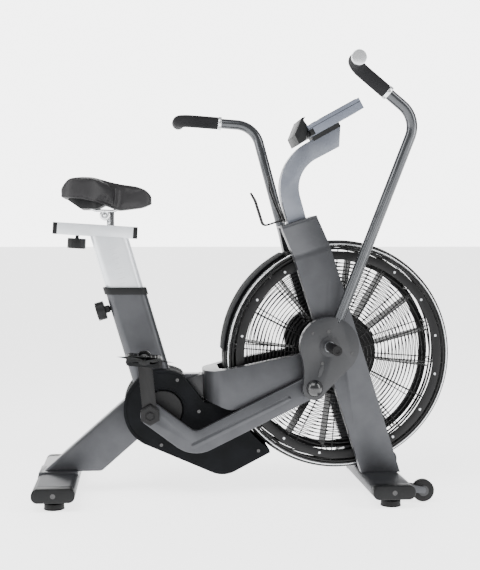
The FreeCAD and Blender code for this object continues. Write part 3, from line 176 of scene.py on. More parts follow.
matte_abs = grained(new_material("matte_black_sheet", "151618", Specular_IOR_Level=0.04), 0.8, 0.05, 0.7, 0.8,
                    "17181a", "131415")
screen_glass = grained(new_material("smoked_screen", "14171a", IOR=1.5, Coat_Weight=1.0, Coat_Roughness=0.04),
                       12.0, 0.01, 0.08, 0.14)

FINISH = {
    "frame_paint": powder_coat, "mast_paint": mast_coat, "handle_paint": handle_coat, "silver": anodised,
    "chrome": chrome, "steel": machined, "black_steel": black_coat, "black_plastic": black_abs,
    "fan_plastic": black_abs, "console_plastic": console_abs, "button_rubber": rubber, "foam": foam,
    "saddle_vinyl": vinyl, "rubber": rubber,
}
SATIN_NODES = ("lever_cover_right", "lever_cover_left", "beam_cover")
MATTE_NODES = ("wind_guard", "casing_right", "casing_left")


def finish_for(node):
    if node in MATTE_NODES:
        return matte_abs
    return satin_abs if node in SATIN_NODES else FINISH[slot_of_node[node]]


for node, thing in nodes.items():
    thing.data.materials.clear()
    thing.data.materials.append(finish_for(node))
print("materials:", len(bpy.data.materials))

# %% [markdown]
# ## Rounded edges
# Bent and welded tube never has a razor edge, and the rounding is what catches the light. For each welded or
# moulded part a copy of the design's mesh is merged, its flat faces are joined, and a bevel rounds the edges.

# %% Rounding helper


def only(thing):
    """Make one object the whole selection."""
    bpy.ops.object.select_all(action="DESELECT")
    thing.select_set(True)
    bpy.context.view_layer.objects.active = thing
    return thing


def apply_all(thing):
    only(thing)
    for modifier in list(thing.modifiers):
        bpy.ops.object.modifier_apply(modifier=modifier.name)
    return thing


def merged_copy(node, name):
    """A free copy of a CAD node's mesh with its loose triangles merged into flat faces."""
    source = nodes[node]
    piece = bpy.data.objects.new(name, source.data.copy())
    scene.collection.objects.link(piece)
    only(piece)
    bpy.ops.object.mode_set(mode="EDIT")
    bpy.ops.mesh.select_all(action="SELECT")
    bpy.ops.mesh.remove_doubles(threshold=0.02 * MM)
    bpy.ops.mesh.dissolve_limited(angle_limit=math.radians(1.0))
    bpy.ops.object.mode_set(mode="OBJECT")
    return piece


def hand_over(piece, body, material=None):
    """Finish a piece: its material and the body it moves with."""
    if material is not None:
        piece.data.materials.clear()
        piece.data.materials.append(material)
    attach(piece, body)
    return piece


def smooth(piece, angle=32):
    only(piece)
    bpy.ops.object.shade_smooth_by_angle(angle=math.radians(angle))
    return piece


def rounded(node, width_mm, segments=3, angle=32):
    piece = merged_copy(node, node + "_rounded")
    bevel = piece.modifiers.new("rounding", "BEVEL")
    bevel.width = width_mm * MM
    bevel.segments = segments
    bevel.limit_method = "ANGLE"
    bevel.angle_limit = math.radians(angle)
    apply_all(piece)
    smooth(piece)
    hand_over(piece, body_of_node[node], finish_for(node))
    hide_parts(node)
    return piece


ROUNDINGS = {
    "front_leg_right": 8, "front_leg_left": 8, "fork": 9, "rear_leg": 7, "main_beam": 6, "mast": 9,
    "head_cap": 1.5, "link_rod_right": 4, "link_rod_left": 4, "casing_right": 2.5, "casing_left": 2.5,
    "lever_cover_right": 4, "lever_cover_left": 4, "stabiliser_caps": 3, "rear_stabiliser": 2,
    "front_stabiliser": 1.5, "seat_tube_collar": 1.5, "console_housing": 3, "tablet_holder": 2,
    "rail_end_caps": 2, "seat_post": 1.2, "levelling_feet": 2.5, "transport_wheel_right": 3,
    "transport_wheel_left": 3, "beam_cover": 3, "foot_pegs": 1.5, "outer_cranks": 3, "crank_discs": 2,
    "handle_trim_right": 1.5, "handle_trim_left": 1.5, "saddle_base": 3, "height_knob": 3, "slider_knob": 3,
    "button_right": 1, "button_middle": 1, "button_left": 1, "wind_guard": 0.8,
}
for node, width_mm in ROUNDINGS.items():
    rounded(node, width_mm)
print("rounded parts:", len(ROUNDINGS))

# %% [markdown]
# ## Smooth handle bars
# A bent tube only needs smooth shading. Its mesh is merged so that neighbouring faces share their corners,
# and the angle limit keeps the cut ends and the flat lever crisp.

# %% Handles and grips


def smoothed(node, angle=40, material=None):
    piece = bpy.data.objects.new(node + "_smooth", nodes[node].data.copy())
    scene.collection.objects.link(piece)
    only(piece)
    bpy.ops.object.mode_set(mode="EDIT")
    bpy.ops.mesh.select_all(action="SELECT")
    bpy.ops.mesh.remove_doubles(threshold=0.02 * MM)
    bpy.ops.object.mode_set(mode="OBJECT")
    smooth(piece, angle)
    hand_over(piece, body_of_node[node], material or finish_for(node))
    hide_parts(node)
    return piece


for side in ("right", "left"):
    smoothed("handle_" + side)
smoothed("seat_tube", 25)
smoothed("crank_axle")
print("smooth tubes:", 4)

# %% [markdown]
# ## Making small pieces
# Most fittings are turned or pressed: a disc is inset and pushed in or out a few times and shaded smooth, and a few
# are bevelled after. The helper below does this along the Y axis, which is the axis of every wheel, pin and screw on
# this machine.

# %% Turned pieces
AXLE = Vector((0.2725, 0, 0.408))
PIVOT = Vector((0.2255, 0, 0.443))
CRANK = Vector((-0.2465, 0, 0.254))
RIGHT, LEFT = -1, 1
TO_SIDE = {RIGHT: Matrix.Rotation(math.radians(90), 4, "X"), LEFT: Matrix.Rotation(math.radians(-90), 4, "X")}


def settle(piece):
    """Leave a piece at the origin with its place in its mesh, and its faces pointing out."""
    only(piece)
    bpy.ops.object.transform_apply(location=True, rotation=True, scale=True)
    bpy.ops.object.mode_set(mode="EDIT")
    bpy.ops.mesh.select_all(action="SELECT")
    bpy.ops.mesh.normals_make_consistent(inside=False)
    bpy.ops.object.mode_set(mode="OBJECT")
    return piece


def turned(name, radius_mm, profile, frame_matrix, sides=48):
    """A disc grown by steps: each step is (inset, push) in millimetres; the last faces stay closed."""
    bpy.ops.mesh.primitive_circle_add(vertices=sides, radius=radius_mm * MM, fill_type="NGON")
    piece = bpy.context.active_object
    piece.name = name
    bpy.ops.object.mode_set(mode="EDIT")
    bpy.ops.mesh.select_all(action="SELECT")
    bpy.ops.mesh.duplicate()
    for inset_mm, push_mm in profile:
        if inset_mm:
            bpy.ops.mesh.inset(thickness=inset_mm * MM, depth=0)
        if push_mm:
            bpy.ops.mesh.extrude_region_move(TRANSFORM_OT_translate={"value": (0, 0, push_mm * MM)})
    bpy.ops.mesh.select_all(action="SELECT")
    bpy.ops.mesh.remove_doubles(threshold=0.01 * MM)
    bpy.ops.object.mode_set(mode="OBJECT")
    piece.matrix_world = frame_matrix
    settle(piece)
    return smooth(piece, 30)


def joined(pieces, name):
    bpy.ops.object.select_all(action="DESELECT")
    for piece in pieces:
        piece.select_set(True)
    bpy.context.view_layer.objects.active = pieces[0]
    bpy.ops.object.join()
    pieces[0].name = name
    pieces[0].data.name = name
    return pieces[0]


def softened(piece, width_mm, segments=2):
    bevel = piece.modifiers.new("softening", "BEVEL")
    bevel.width = width_mm * MM
    bevel.segments = segments
    bevel.limit_method = "ANGLE"
    bevel.angle_limit = math.radians(35)
    apply_all(piece)
    return smooth(piece)


def facing(side, spot, y_mm):
    """Placement of a turned piece that faces outward on one side at a spot seen from the side."""
    return Matrix.Translation((spot.x, side * y_mm * MM, spot.z)) @ TO_SIDE[side]


# %% [markdown]
# ## The fan guard
# The guard is drawn wire: rings welded on hoops that run over the rim from one side to the other. Each hoop
# is a small circle extruded outward, spun round the corner, extruded across and spun again. Fine rings close
# the sides, four heavier ones close the rim, and a pressed band with rivets ties each side together.

# %% Guard wires
HOOPS = 16
RIVETS = 16
HUB_RADIUS = 62
BAND_INNER, BAND_OUTER = 282, 307
RIM_RADIUS = 336.5
CORNER = 20
CAGE_Y = 77


def wire_ring(radius_mm, wire_mm, y_mm, around=120, facets=6):
    bpy.ops.mesh.primitive_torus_add(major_radius=radius_mm * MM, minor_radius=wire_mm * MM, major_segments=around,
                                     minor_segments=facets, location=(AXLE.x, y_mm * MM, AXLE.z),
                                     rotation=(math.radians(90), 0, 0))
    return bpy.context.active_object


def hoop(angle):
    """One hoop, drawn pointing straight up and then turned about the axle."""
    bpy.ops.mesh.primitive_circle_add(vertices=8, radius=1.7 * MM, location=(0, -CAGE_Y * MM, HUB_RADIUS * MM))
    piece = bpy.context.active_object
    bend_z = (RIM_RADIUS - CORNER - 2) * MM
    bend_y = (CAGE_Y - CORNER) * MM
    bpy.ops.object.mode_set(mode="EDIT")
    bpy.ops.mesh.extrude_region_move(TRANSFORM_OT_translate={"value": (0, 0, bend_z - HUB_RADIUS * MM)})
    bpy.ops.mesh.spin(steps=5, angle=math.radians(-90), center=(0, -bend_y, bend_z), axis=(1, 0, 0))
    bpy.ops.mesh.extrude_region_move(TRANSFORM_OT_translate={"value": (0, 2 * bend_y, 0)})
    bpy.ops.mesh.spin(steps=5, angle=math.radians(-90), center=(0, bend_y, bend_z), axis=(1, 0, 0))
    bpy.ops.mesh.extrude_region_move(TRANSFORM_OT_translate={"value": (0, 0, HUB_RADIUS * MM - bend_z)})
    bpy.ops.mesh.select_all(action="SELECT")
    bpy.ops.mesh.remove_doubles(threshold=0.01 * MM)
    bpy.ops.object.mode_set(mode="OBJECT")
    piece.matrix_world = Matrix.Translation(AXLE) @ Matrix.Rotation(angle, 4, "Y") @ piece.matrix_world
    return smooth(settle(piece), 60)


hoops = joined([hoop(math.radians(360 / HOOPS * (number + 0.2))) for number in range(HOOPS)], "guard_hoops")
hand_over(hoops, "frame", black_coat)
for side, word in ((RIGHT, "right"), (LEFT, "left")):
    fine = [wire_ring(radius, 1.5, side * (CAGE_Y - 3.4)) for radius in range(74, 282, 11)]
    grille = joined(fine, "guard_grille_" + word)
    settle(grille)
    smooth(grille, 60)
    hand_over(grille, "frame", black_coat)
    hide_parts("fan_cage_" + word)
print("hoops:", HOOPS, "rings on each side:", len(fine))

# %% Guard bands, hub plates and rivets
for side, word in ((RIGHT, "right"), (LEFT, "left")):
    bpy.ops.mesh.primitive_circle_add(vertices=128, radius=BAND_OUTER * MM, fill_type="NGON")
    band = bpy.context.active_object
    bpy.ops.object.mode_set(mode="EDIT")
    bpy.ops.mesh.inset(thickness=(BAND_OUTER - BAND_INNER) * MM)
    bpy.ops.mesh.delete(type="FACE")
    bpy.ops.mesh.select_all(action="SELECT")
    bpy.ops.mesh.extrude_region_move(TRANSFORM_OT_translate={"value": (0, 0, 2.2 * MM)})
    bpy.ops.object.mode_set(mode="OBJECT")
    band.matrix_world = facing(side, AXLE, CAGE_Y)
    settle(band)
    softened(band, 0.8)
    plate = turned("guard_hub", HUB_RADIUS, [(0, 2.0), (3, 0.6), (14, 0), (3, -1.4)],
                   facing(side, AXLE, CAGE_Y - 1), 64)
    band = joined([band, plate], "guard_band_" + word)
    hand_over(band, "frame", black_coat)
    heads = []
    for number in range(RIVETS):
        angle = math.radians(360 / RIVETS * number + 11)
        spot = AXLE + Vector((math.cos(angle), 0, math.sin(angle))) * (BAND_OUTER + BAND_INNER) / 2 * MM
        heads.append(turned("rivet", 3.6, [(0, 0.5), (0.7, 0.5), (1.2, 0.3)], facing(side, spot, CAGE_Y + 2.2), 12))
    rivets = joined(heads, "guard_rivets_" + word)
    hand_over(rivets, "frame", rivet_metal)

RIM_WIRES = ((336.5, 3.2, 2), (336.5, 3.2, 14), (336.5, 3.2, 28), (336.5, 3.2, 42), (333, 3.2, 54),
             (328, 2.4, 62), (322, 3.2, 68), (315, 3.0, 73))
# The thin wire at 328 mm is a painted highlight: a chrome ring stands in for the line of light along the black rim.
dark_rings = []
painted_highlight_rings = []
for radius, wire_mm, y_mm in RIM_WIRES:
    for side in (RIGHT, LEFT):
        target = painted_highlight_rings if wire_mm < 3 else dark_rings
        target.append(wire_ring(radius, wire_mm, side * y_mm, 144, 8))
rim = joined(dark_rings, "guard_rim")
smooth(settle(rim), 60)
hand_over(rim, "frame", black_coat)
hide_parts("fan_rim_rings")
# Chrome rings as a painted highlight along the black rim.
bright = joined(painted_highlight_rings, "guard_rim_painted_highlight")
smooth(settle(bright), 60)
hand_over(bright, "frame", chrome)
print("rim rings:", 2 * len(RIM_WIRES))

# %% [markdown]
# ## The saddle
# A saddle is vinyl stretched over foam, so it has no edge at all. The design's solid is voxel-remeshed, then a
# short cloth simulation with a little air pressure swells it, and a subdivision takes out the last facets.
# The movement is capped so that the cover stays on its base.

# %% Saddle cover
SADDLE_START = (1.03, 0.98, 1.03)
SADDLE_CAP = 7 * MM
UNDERSIDE_CAP = 0.5 * MM
RELAX_PASSES = 22
source = nodes["saddle_cover"]
saddle = bpy.data.objects.new("saddle_vinyl_cover", source.data.copy())
scene.collection.objects.link(saddle)
only(saddle)
low = [min(vertex.co[axis] for vertex in saddle.data.vertices) for axis in range(3)]
high = [max(vertex.co[axis] for vertex in saddle.data.vertices) for axis in range(3)]
middle = Vector([(low[axis] + high[axis]) / 2 for axis in range(3)])
saddle.data.transform(Matrix.Translation(middle) @ Matrix.Diagonal((*SADDLE_START, 1)) @ Matrix.Translation(-middle))
saddle.data.remesh_voxel_size = 4 * MM
bpy.ops.object.voxel_remesh()
relax = saddle.modifiers.new("relax", "SMOOTH")
relax.factor = 0.5
relax.iterations = RELAX_PASSES
apply_all(saddle)
before = [(vertex.co.copy(), vertex.normal.z) for vertex in saddle.data.vertices]
cloth = saddle.modifiers.new("stuffing", "CLOTH")
cloth.settings.use_pressure = True
cloth.settings.uniform_pressure_force = 4
cloth.settings.effector_weights.gravity = 0
for number in range(1, 21):
    scene.frame_set(number)
bpy.ops.object.modifier_apply(modifier=cloth.name)
scene.frame_set(1)
for vertex, (rest, upward) in zip(saddle.data.vertices, before):
    step = vertex.co - rest
    cap = UNDERSIDE_CAP if upward < -0.35 else SADDLE_CAP
    if step.length > cap:
        vertex.co = rest + step.normalized() * cap
divide = saddle.modifiers.new("divide", "SUBSURF")
divide.levels = 1
divide.render_levels = 1
apply_all(saddle)
only(saddle)
bpy.ops.object.shade_smooth()
hand_over(saddle, "saddle", vinyl)
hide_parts("saddle_cover")
smoothed("saddle_rails", 60, chrome)
smoothed("saddle_stem", 35, chrome)
print("saddle faces:", len(saddle.data.polygons))

# %% [markdown]
# ## Crank and lever fittings
# The crank pins carry a forged hexagonal boss, the lever covers a round boss, a slot and small screws, and
# each ball joint a glossy cap. All of them are turned discs that differ only in their steps.

# %% Lever covers
COVER_FACE = 178
LEVER_REACH = 126
LEANS = {RIGHT: math.radians(20), LEFT: math.radians(-15)}
WORDS = {RIGHT: "right", LEFT: "left"}
PEG_RADIUS = 14


def on_lever(side, along_mm, up_mm):
    """A spot in the handle's own frame, from its pivot, seen from the side."""
    lean = LEANS[side]
    forward = along_mm * math.cos(lean) + up_mm * math.sin(lean)
    upward = up_mm * math.cos(lean) - along_mm * math.sin(lean)
    return PIVOT + Vector((forward, 0, upward)) * MM


def recolour(piece, material, choose):
    """Give the faces picked by a test on their centre a second material."""
    piece.data.materials.append(material)
    for face in piece.data.polygons:
        if choose(face.center):
            face.material_index = len(piece.data.materials) - 1
    return piece


for side, word in WORDS.items():
    cover = bpy.data.objects["lever_cover_" + word + "_rounded"]
    recolour(cover, gloss_abs, lambda centre: abs(centre.y) > (COVER_FACE + 0.4) * MM)
    body = "handle_" + word
    boss = turned("cover_boss_" + word, 29, [(0, 1.6), (1.2, 0.6), (7, 0), (1.5, -0.8)],
                  facing(side, PIVOT, COVER_FACE - 0.2))
    hand_over(boss, body, satin_abs)
    screws = [turned("cover_screw", radius, [(0, 1.2), (1.2, 0.6), (radius * 0.25, 0), (0.6, -1.2)],
                     facing(side, on_lever(side, along, up), COVER_FACE), 24)
              for along, up, radius in ((-18, 40, 5), (-4, -52, 4), (66, 4, 3.6), (-60, 20, 3.6))]
    hand_over(joined(screws, "cover_screws_" + word), body, gloss_abs)
    rib = turned("cover_rib_" + word, 9, [(0, 1.2), (2, 0.8), (3, 0)],
                 facing(side, on_lever(side, 0, -66), COVER_FACE))
    rib.data.transform(Matrix.Translation(-on_lever(side, 0, -66)))
    lean_turn = Matrix.Rotation(LEANS[side], 4, "Y")
    stretch = Matrix.Diagonal((0.62, 1, 2.1, 1))
    rib.data.transform(Matrix.Translation(on_lever(side, 0, -74)) @ lean_turn @ stretch)
    hand_over(smooth(rib), body, satin_abs)
    rim = turned("peg_end_" + word, PEG_RADIUS, [(0, 2), (1, 0.8), (4, 0), (0.8, -2.6), (3, 0)],
                 facing(side, PIVOT, 289))
    hand_over(rim, "frame", black_coat)
print("lever fittings done")

# %% Crank bosses and end screws
PIN_THROW = 39
for side, word in WORDS.items():
    pin = CRANK + Vector((side * PIN_THROW * MM, 0, 0))
    boss = turned("crank_boss_" + word, 30, [(0, 12), (3, 2.5), (9, 0), (1, -3), (3, 0), (1, 4), (1.5, 1)],
                  facing(side, pin, 163), 6)
    softened(boss, 2.0, 3)
    hand_over(boss, "crank", black_coat)
    inner = turned("link_bush_" + word, 24, [(0, 3), (2, 1)], facing(side, pin, 143.4))
    hand_over(inner, "crank", black_coat)
    end = turned("link_bush_front_" + word, 20, [(0, 2.2), (2, 0.8)],
                 facing(side, on_lever(side, 0, -LEVER_REACH), 143.4))
    hand_over(end, "link_" + word, machined)
    cover = turned("crank_disc_face_" + word, 54, [(0, 1.0), (1.5, 0.6), (6, 0), (1, -0.8), (20, 0), (1, 0.8)],
                   facing(side, CRANK, 80.6), 64)
    hand_over(cover, "crank", black_coat)
print("crank fittings done")

# %% [markdown]
# ## Pressed ribs on the link rods
# A long flat bar is stiffened by a rib pressed along its middle. It is a thin plate, stretched along the bar,
# whose face is inset and pushed outward twice, so its sides slope and its ends are round.

# %% Link ribs
LINK_CORNER = (110.7, -112.1)
RIB_FROM, RIB_TO = -2, 300
LINK_FACE = 144
for side, word in WORDS.items():
    start = CRANK + Vector((side * PIN_THROW * MM, 0, 0))
    end = on_lever(side, 0, -LEVER_REACH)
    heading = (end - start).normalized()
    across = Vector((-heading.z, 0, heading.x))
    corner = start + heading * LINK_CORNER[0] * MM + across * LINK_CORNER[1] * MM
    run = (end - corner).normalized()
    bpy.ops.mesh.primitive_circle_add(vertices=24, radius=9 * MM, fill_type="NGON")
    rib = bpy.context.active_object
    for vertex in rib.data.vertices:
        vertex.co.x += (RIB_TO if vertex.co.x > 0.0001 else RIB_FROM) * MM
    bpy.ops.object.mode_set(mode="EDIT")
    bpy.ops.mesh.select_all(action="SELECT")
    bpy.ops.mesh.duplicate()
    bpy.ops.mesh.extrude_region_move(TRANSFORM_OT_translate={"value": (0, 0, 0.6 * MM)})
    bpy.ops.mesh.inset(thickness=4 * MM)
    bpy.ops.transform.translate(value=(0, 0, 2.6 * MM))
    bpy.ops.mesh.inset(thickness=3 * MM)
    bpy.ops.transform.translate(value=(0, 0, 0.8 * MM))
    bpy.ops.mesh.select_all(action="SELECT")
    bpy.ops.mesh.remove_doubles(threshold=0.01 * MM)
    bpy.ops.object.mode_set(mode="OBJECT")
    outward = Vector((0, side, 0))
    lift = corner + Vector((0, side * (LINK_FACE - 0.2) * MM, 0))
    turn = Matrix((run, outward.cross(run), outward)).transposed().to_4x4()
    rib.matrix_world = Matrix.Translation(lift) @ turn
    rib.name = "link_rib_" + word
    settle(rib)
    hand_over(smooth(rib, 50), "link_" + word, powder_coat)
print("ribs:", 2)

# %% [markdown]
# ## Casing fittings
# The two moulded halves meet on the middle plane. A raised rim runs round the window of the crank, domed
# screws hold the halves, and a rubber stop hangs under the belly.

# %% Casing
CASING_FACE = 75
SCREW_SPOTS = ((-205.5, 340), (-142.5, 247), (-252.5, 150), (32.5, 128))
heads = []
for side in (RIGHT, LEFT):
    for x_mm, z_mm in SCREW_SPOTS:
        spot = Vector((x_mm * MM, 0, z_mm * MM))
        heads.append(turned("casing_screw", 5, [(0, 2.2), (1.2, 0.8), (1.2, 0), (0.6, -1.6)],
                            facing(side, spot, CASING_FACE), 24))
screws = joined(heads, "casing_screw_heads")
hand_over(screws, "frame", gloss_abs)
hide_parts("casing_screws")
for side, word in WORDS.items():
    rings = []
    for radius, wire_mm in ((62, 2.2), (108, 1.6)):
        bpy.ops.mesh.primitive_torus_add(major_radius=radius * MM, minor_radius=wire_mm * MM, major_segments=96,
                                         minor_segments=8, rotation=(math.radians(90), 0, 0),
                                         location=(CRANK.x, side * CASING_FACE * MM, CRANK.z))
        ring = bpy.context.active_object
        settle(ring)
        if radius > 100:
            bpy.ops.object.mode_set(mode="EDIT")
            bpy.ops.mesh.bisect(plane_co=CRANK + Vector((0.052, 0, 0.08)), plane_no=(0.83, 0, -0.55),
                                clear_outer=True, use_fill=True)
            bpy.ops.mesh.select_all(action="SELECT")
            bpy.ops.mesh.bisect(plane_co=CRANK + Vector((-0.05, 0, -0.09)), plane_no=(0.87, 0, -0.5),
                                clear_outer=True, use_fill=True)
            bpy.ops.object.mode_set(mode="OBJECT")
        rings.append(ring)
    rim = joined(rings, "casing_rim_" + word)
    hand_over(smooth(rim, 60), "frame", matte_abs)
stop = turned("casing_stop", 11, [(0, 8), (2, 2), (3, 0)],
              Matrix.Translation((-0.2105, 0, 0.118)) @ Matrix.Rotation(math.radians(200), 4, "Y"), 32)
hand_over(stop, "frame", rubber)
print("casing fittings done")

# %% [markdown]
# ## Lobed knobs
# A hand knob has finger lobes so that it can be turned with a damp hand. A twelve-sided prism has every
# other corner drawn in, and a wide bevel along its corners turns them into soft lobes.

# %% Knobs


def lobed(name, radius_mm, height_mm, base, direction, body):
    bpy.ops.mesh.primitive_circle_add(vertices=12, radius=radius_mm * MM, fill_type="NGON")
    knob = bpy.context.active_object
    for vertex in knob.data.vertices:
        if vertex.index % 2:
            vertex.co *= 0.86
    bpy.ops.object.mode_set(mode="EDIT")
    bpy.ops.mesh.select_all(action="SELECT")
    bpy.ops.mesh.duplicate()
    bpy.ops.mesh.extrude_region_move(TRANSFORM_OT_translate={"value": (0, 0, height_mm * MM)})
    bpy.ops.mesh.inset(thickness=5 * MM)
    bpy.ops.transform.translate(value=(0, 0, -1.2 * MM))
    bpy.ops.mesh.select_all(action="SELECT")
    bpy.ops.mesh.remove_doubles(threshold=0.01 * MM)
    bpy.ops.object.mode_set(mode="OBJECT")
    knob.name = name
    knob.matrix_world = Matrix.Translation(base) @ direction.to_track_quat("Z", "Y").to_matrix().to_4x4()
    settle(knob)
    softened(knob, 2.4, 3)
    return hand_over(knob, body, black_abs)


SEAT_LEAN = math.radians(16.5)
RAIL_TILT = math.radians(3.5)
seat_back = Vector((-math.cos(SEAT_LEAN), 0, -math.sin(SEAT_LEAN)))
seat_up = Vector((-math.sin(SEAT_LEAN), 0, math.cos(SEAT_LEAN)))
rail_down = Vector((-math.sin(RAIL_TILT), 0, -math.cos(RAIL_TILT)))
knob_face = Vector((-0.2675, 0, 0.302)) + seat_up * 272 * MM + seat_back * 57.5 * MM
lobed("height_knob_grip", 28, 27, knob_face + seat_back * 16 * MM, seat_back, "height_knob")
top_knob = bpy.data.objects["slider_knob_rounded"]
spots = [vertex.co for vertex in top_knob.data.vertices]
knob_middle = sum(spots, Vector()) / len(spots)
knob_top = max(spot.z for spot in spots if abs(spot.x - knob_middle.x) > 0.02)
lobed("slider_knob_grip", 27.5, 30, Vector((knob_middle.x, 0, knob_top)) + rail_down * 1 * MM, rail_down,
      "slider_knob")
print("knobs: 2, slider knob under", round(knob_top, 4))

# %% [markdown]
# ## Console
# The screen sits in a shallow frame on the upper face. The housing is two mouldings, so a dark seam runs
# round its sides, and a black pressed bracket holds it on the mast.

# %% Console
SLAB_TILT = math.radians(29)
slab_run = Vector((math.cos(SLAB_TILT), 0, math.sin(SLAB_TILT)))
slab_up = Vector((-math.sin(SLAB_TILT), 0, math.cos(SLAB_TILT)))
slab_start = Vector((0.1895, 0, 1.050))
SLAB_LONG, SLAB_HALF, SLAB_THICK = 173, 90, 34
console = bpy.data.objects["console_housing_rounded"]
recolour(console, black_abs, lambda centre: (centre - slab_start).dot(slab_up) < -0.3 * MM)
seam_frame = Matrix((slab_run, Vector((0, 1, 0)), slab_up)).transposed().to_4x4()


def slab_plate(name, low_mm, high_mm, half_mm, base_mm, steps, bevel_mm, material):
    """A plate on the console: low and high run along it, and it grows from a height above its base."""
    bpy.ops.mesh.primitive_plane_add(size=1)
    plate = bpy.context.active_object
    bpy.ops.object.mode_set(mode="EDIT")
    bpy.ops.mesh.select_all(action="SELECT")
    bpy.ops.transform.resize(value=((high_mm - low_mm) * MM, 2 * half_mm * MM, 1))
    bpy.ops.mesh.duplicate()
    for inset_mm, push_mm in steps:
        if inset_mm:
            bpy.ops.mesh.inset(thickness=inset_mm * MM)
        if push_mm:
            bpy.ops.mesh.extrude_region_move(TRANSFORM_OT_translate={"value": (0, 0, push_mm * MM)})
    bpy.ops.mesh.select_all(action="SELECT")
    bpy.ops.mesh.remove_doubles(threshold=0.01 * MM)
    bpy.ops.object.mode_set(mode="OBJECT")
    plate.name = name
    middle = slab_start + slab_run * (low_mm + high_mm) / 2 * MM + slab_up * base_mm * MM
    plate.matrix_world = Matrix.Translation(middle) @ seam_frame
    settle(plate)
    softened(plate, bevel_mm)
    return hand_over(plate, "frame", material)


slab_plate("console_bezel", 44, 166, 78, SLAB_THICK - 0.2, [(0, 1.8), (4, 0), (1, -1.2)], 0.6, black_abs)
slab_plate("console_screen", 51, 159, 71, SLAB_THICK, [(0, 1.2)], 0.3, screen_glass)
slab_plate("console_seam", -0.4, SLAB_LONG + 0.4, SLAB_HALF + 0.4, 22, [(0, 1.6)], 0.3, black_abs)
slab_plate("console_end", -0.8, 12, SLAB_HALF + 0.8, 1, [(0, 20)], 2.0, black_abs)
print("console pieces: 4")

# %% [markdown]
# ## Bent bars and foam grips
# A bent handle is a round bar swept along a line with two rounded corners. The line is drawn as a curve, given
# a round bevel and turned into a mesh, which gives even rings that shade cleanly. The foam grip is a thicker
# sweep over the last part of the same line.

# %% Swept bars
BAR_RADIUS, GRIP_RADIUS = 15.6, 19.6
LEVER_MIDDLE = 157
BAR_FLARE, BAR_RISE, BAR_FORWARD = 55, 690, 5
GRIP_RUN, GRIP_OUT, GRIP_SPREAD = 240, 83, 5
GRIP_ANGLE = math.radians(71)
BEND_RADIUS, ELBOW_RADIUS = 78, 42
GRIP_BEGINS = 117.5


def bent_line(points, radii, steps=12):
    """Points of a line whose inner corners are replaced by arcs."""
    line = [points[0]]
    for index in range(1, len(points) - 1):
        corner = points[index]
        before = (points[index - 1] - corner).normalized()
        after = (points[index + 1] - corner).normalized()
        half = before.angle(after) / 2
        reach = radii[index - 1] / math.tan(half)
        centre = corner + (before + after).normalized() * radii[index - 1] / math.sin(half)
        start = corner + before * reach - centre
        end = corner + after * reach - centre
        for step in range(steps + 1):
            line.append(centre + start.slerp(end, step / steps).normalized() * radii[index - 1])
    return [*line, points[-1]]


def swept(name, points, radii, radius_mm):
    line = bent_line(points, radii)
    curve = bpy.data.curves.new(name, "CURVE")
    curve.dimensions = "3D"
    curve.bevel_depth = radius_mm * MM
    curve.bevel_resolution = 8
    curve.use_fill_caps = True
    spline = curve.splines.new("POLY")
    spline.points.add(len(line) - 1)
    for knot, spot in zip(spline.points, line):
        knot.co = (*(spot * MM), 1)
    piece = bpy.data.objects.new(name, curve)
    scene.collection.objects.link(piece)
    only(piece)
    bpy.ops.object.convert(target="MESH")
    return bpy.context.active_object


for side, word in WORDS.items():
    grip_line = Vector((-math.sin(GRIP_ANGLE), 0, math.cos(GRIP_ANGLE)))
    root = Vector((0, side * LEVER_MIDDLE, 24))
    corner = Vector((BAR_FORWARD, side * (LEVER_MIDDLE + BAR_FLARE), BAR_RISE))
    elbow = corner + grip_line * GRIP_RUN + Vector((0, side * GRIP_SPREAD, 0))
    tip = elbow + Vector((0, side * GRIP_OUT, 0))
    begin = corner + (elbow - corner).normalized() * GRIP_BEGINS
    bar = swept("handle_bar_" + word, [root, corner, elbow, tip], [BEND_RADIUS, ELBOW_RADIUS], BAR_RADIUS)
    grip = swept("foam_grip_" + word, [begin, elbow, tip], [ELBOW_RADIUS], GRIP_RADIUS)
    for piece in (bar, grip):
        piece.matrix_world = Matrix.Translation(PIVOT) @ Matrix.Rotation(LEANS[side], 4, "Y")
        settle(piece)
    softened(grip, 3.5, 3)
    hand_over(smooth(bar, 50), "handle_" + word, handle_coat)
    hand_over(smooth(grip, 50), "handle_" + word, foam)
    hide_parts("grip_" + word)
print("swept pieces:", 4)

# %% [markdown]
# ## Pedals
# A platform pedal is a frame with an open middle and toothed edges. Its wide faces are inset and sunk, and
# thin bars laid across them grip the shoe.

# %% Pedals
for side, word in WORDS.items():
    pedal = merged_copy("pedal_" + word, "pedal_frame_" + word)
    for face in pedal.data.polygons:
        face.select = abs(face.normal.z) > 0.95 and face.area > 0.002
    bpy.ops.object.mode_set(mode="EDIT")
    bpy.ops.mesh.select_mode(type="FACE")
    bpy.ops.mesh.inset(thickness=9 * MM, depth=-5 * MM, use_individual=True)
    bpy.ops.mesh.select_mode(type="VERT")
    bpy.ops.object.mode_set(mode="OBJECT")
    spots = [vertex.co for vertex in pedal.data.vertices]
    middle = sum(spots, Vector()) / len(spots)
    softened(pedal, 1.5)
    bars = [pedal]
    for across_mm in (-30, -18, 18, 30):
        bpy.ops.mesh.primitive_cube_add(size=1)
        bar = bpy.context.active_object
        bar.matrix_world = (Matrix.Translation(middle + Vector((across_mm * MM, 0, -across_mm * MM * 0.087)))
                            @ Matrix.Rotation(math.radians(5), 4, "Y") @ Matrix.Diagonal((0.004, 0.076, 0.0245, 1)))
        settle(bar)
        softened(bar, 0.8)
        bars.append(bar)
    pedal = joined(bars, "pedal_frame_" + word)
    hand_over(pedal, "pedal_" + word, black_abs)
    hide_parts("pedal_" + word)
print("pedals:", 2)

# %% [markdown]
# ## Seat post, wheels and feet
# The post is an extrusion with a shallow channel on each face, marked with short lines for the saddle height.
# Wheels get a hub and a bolt, and end caps a screw.

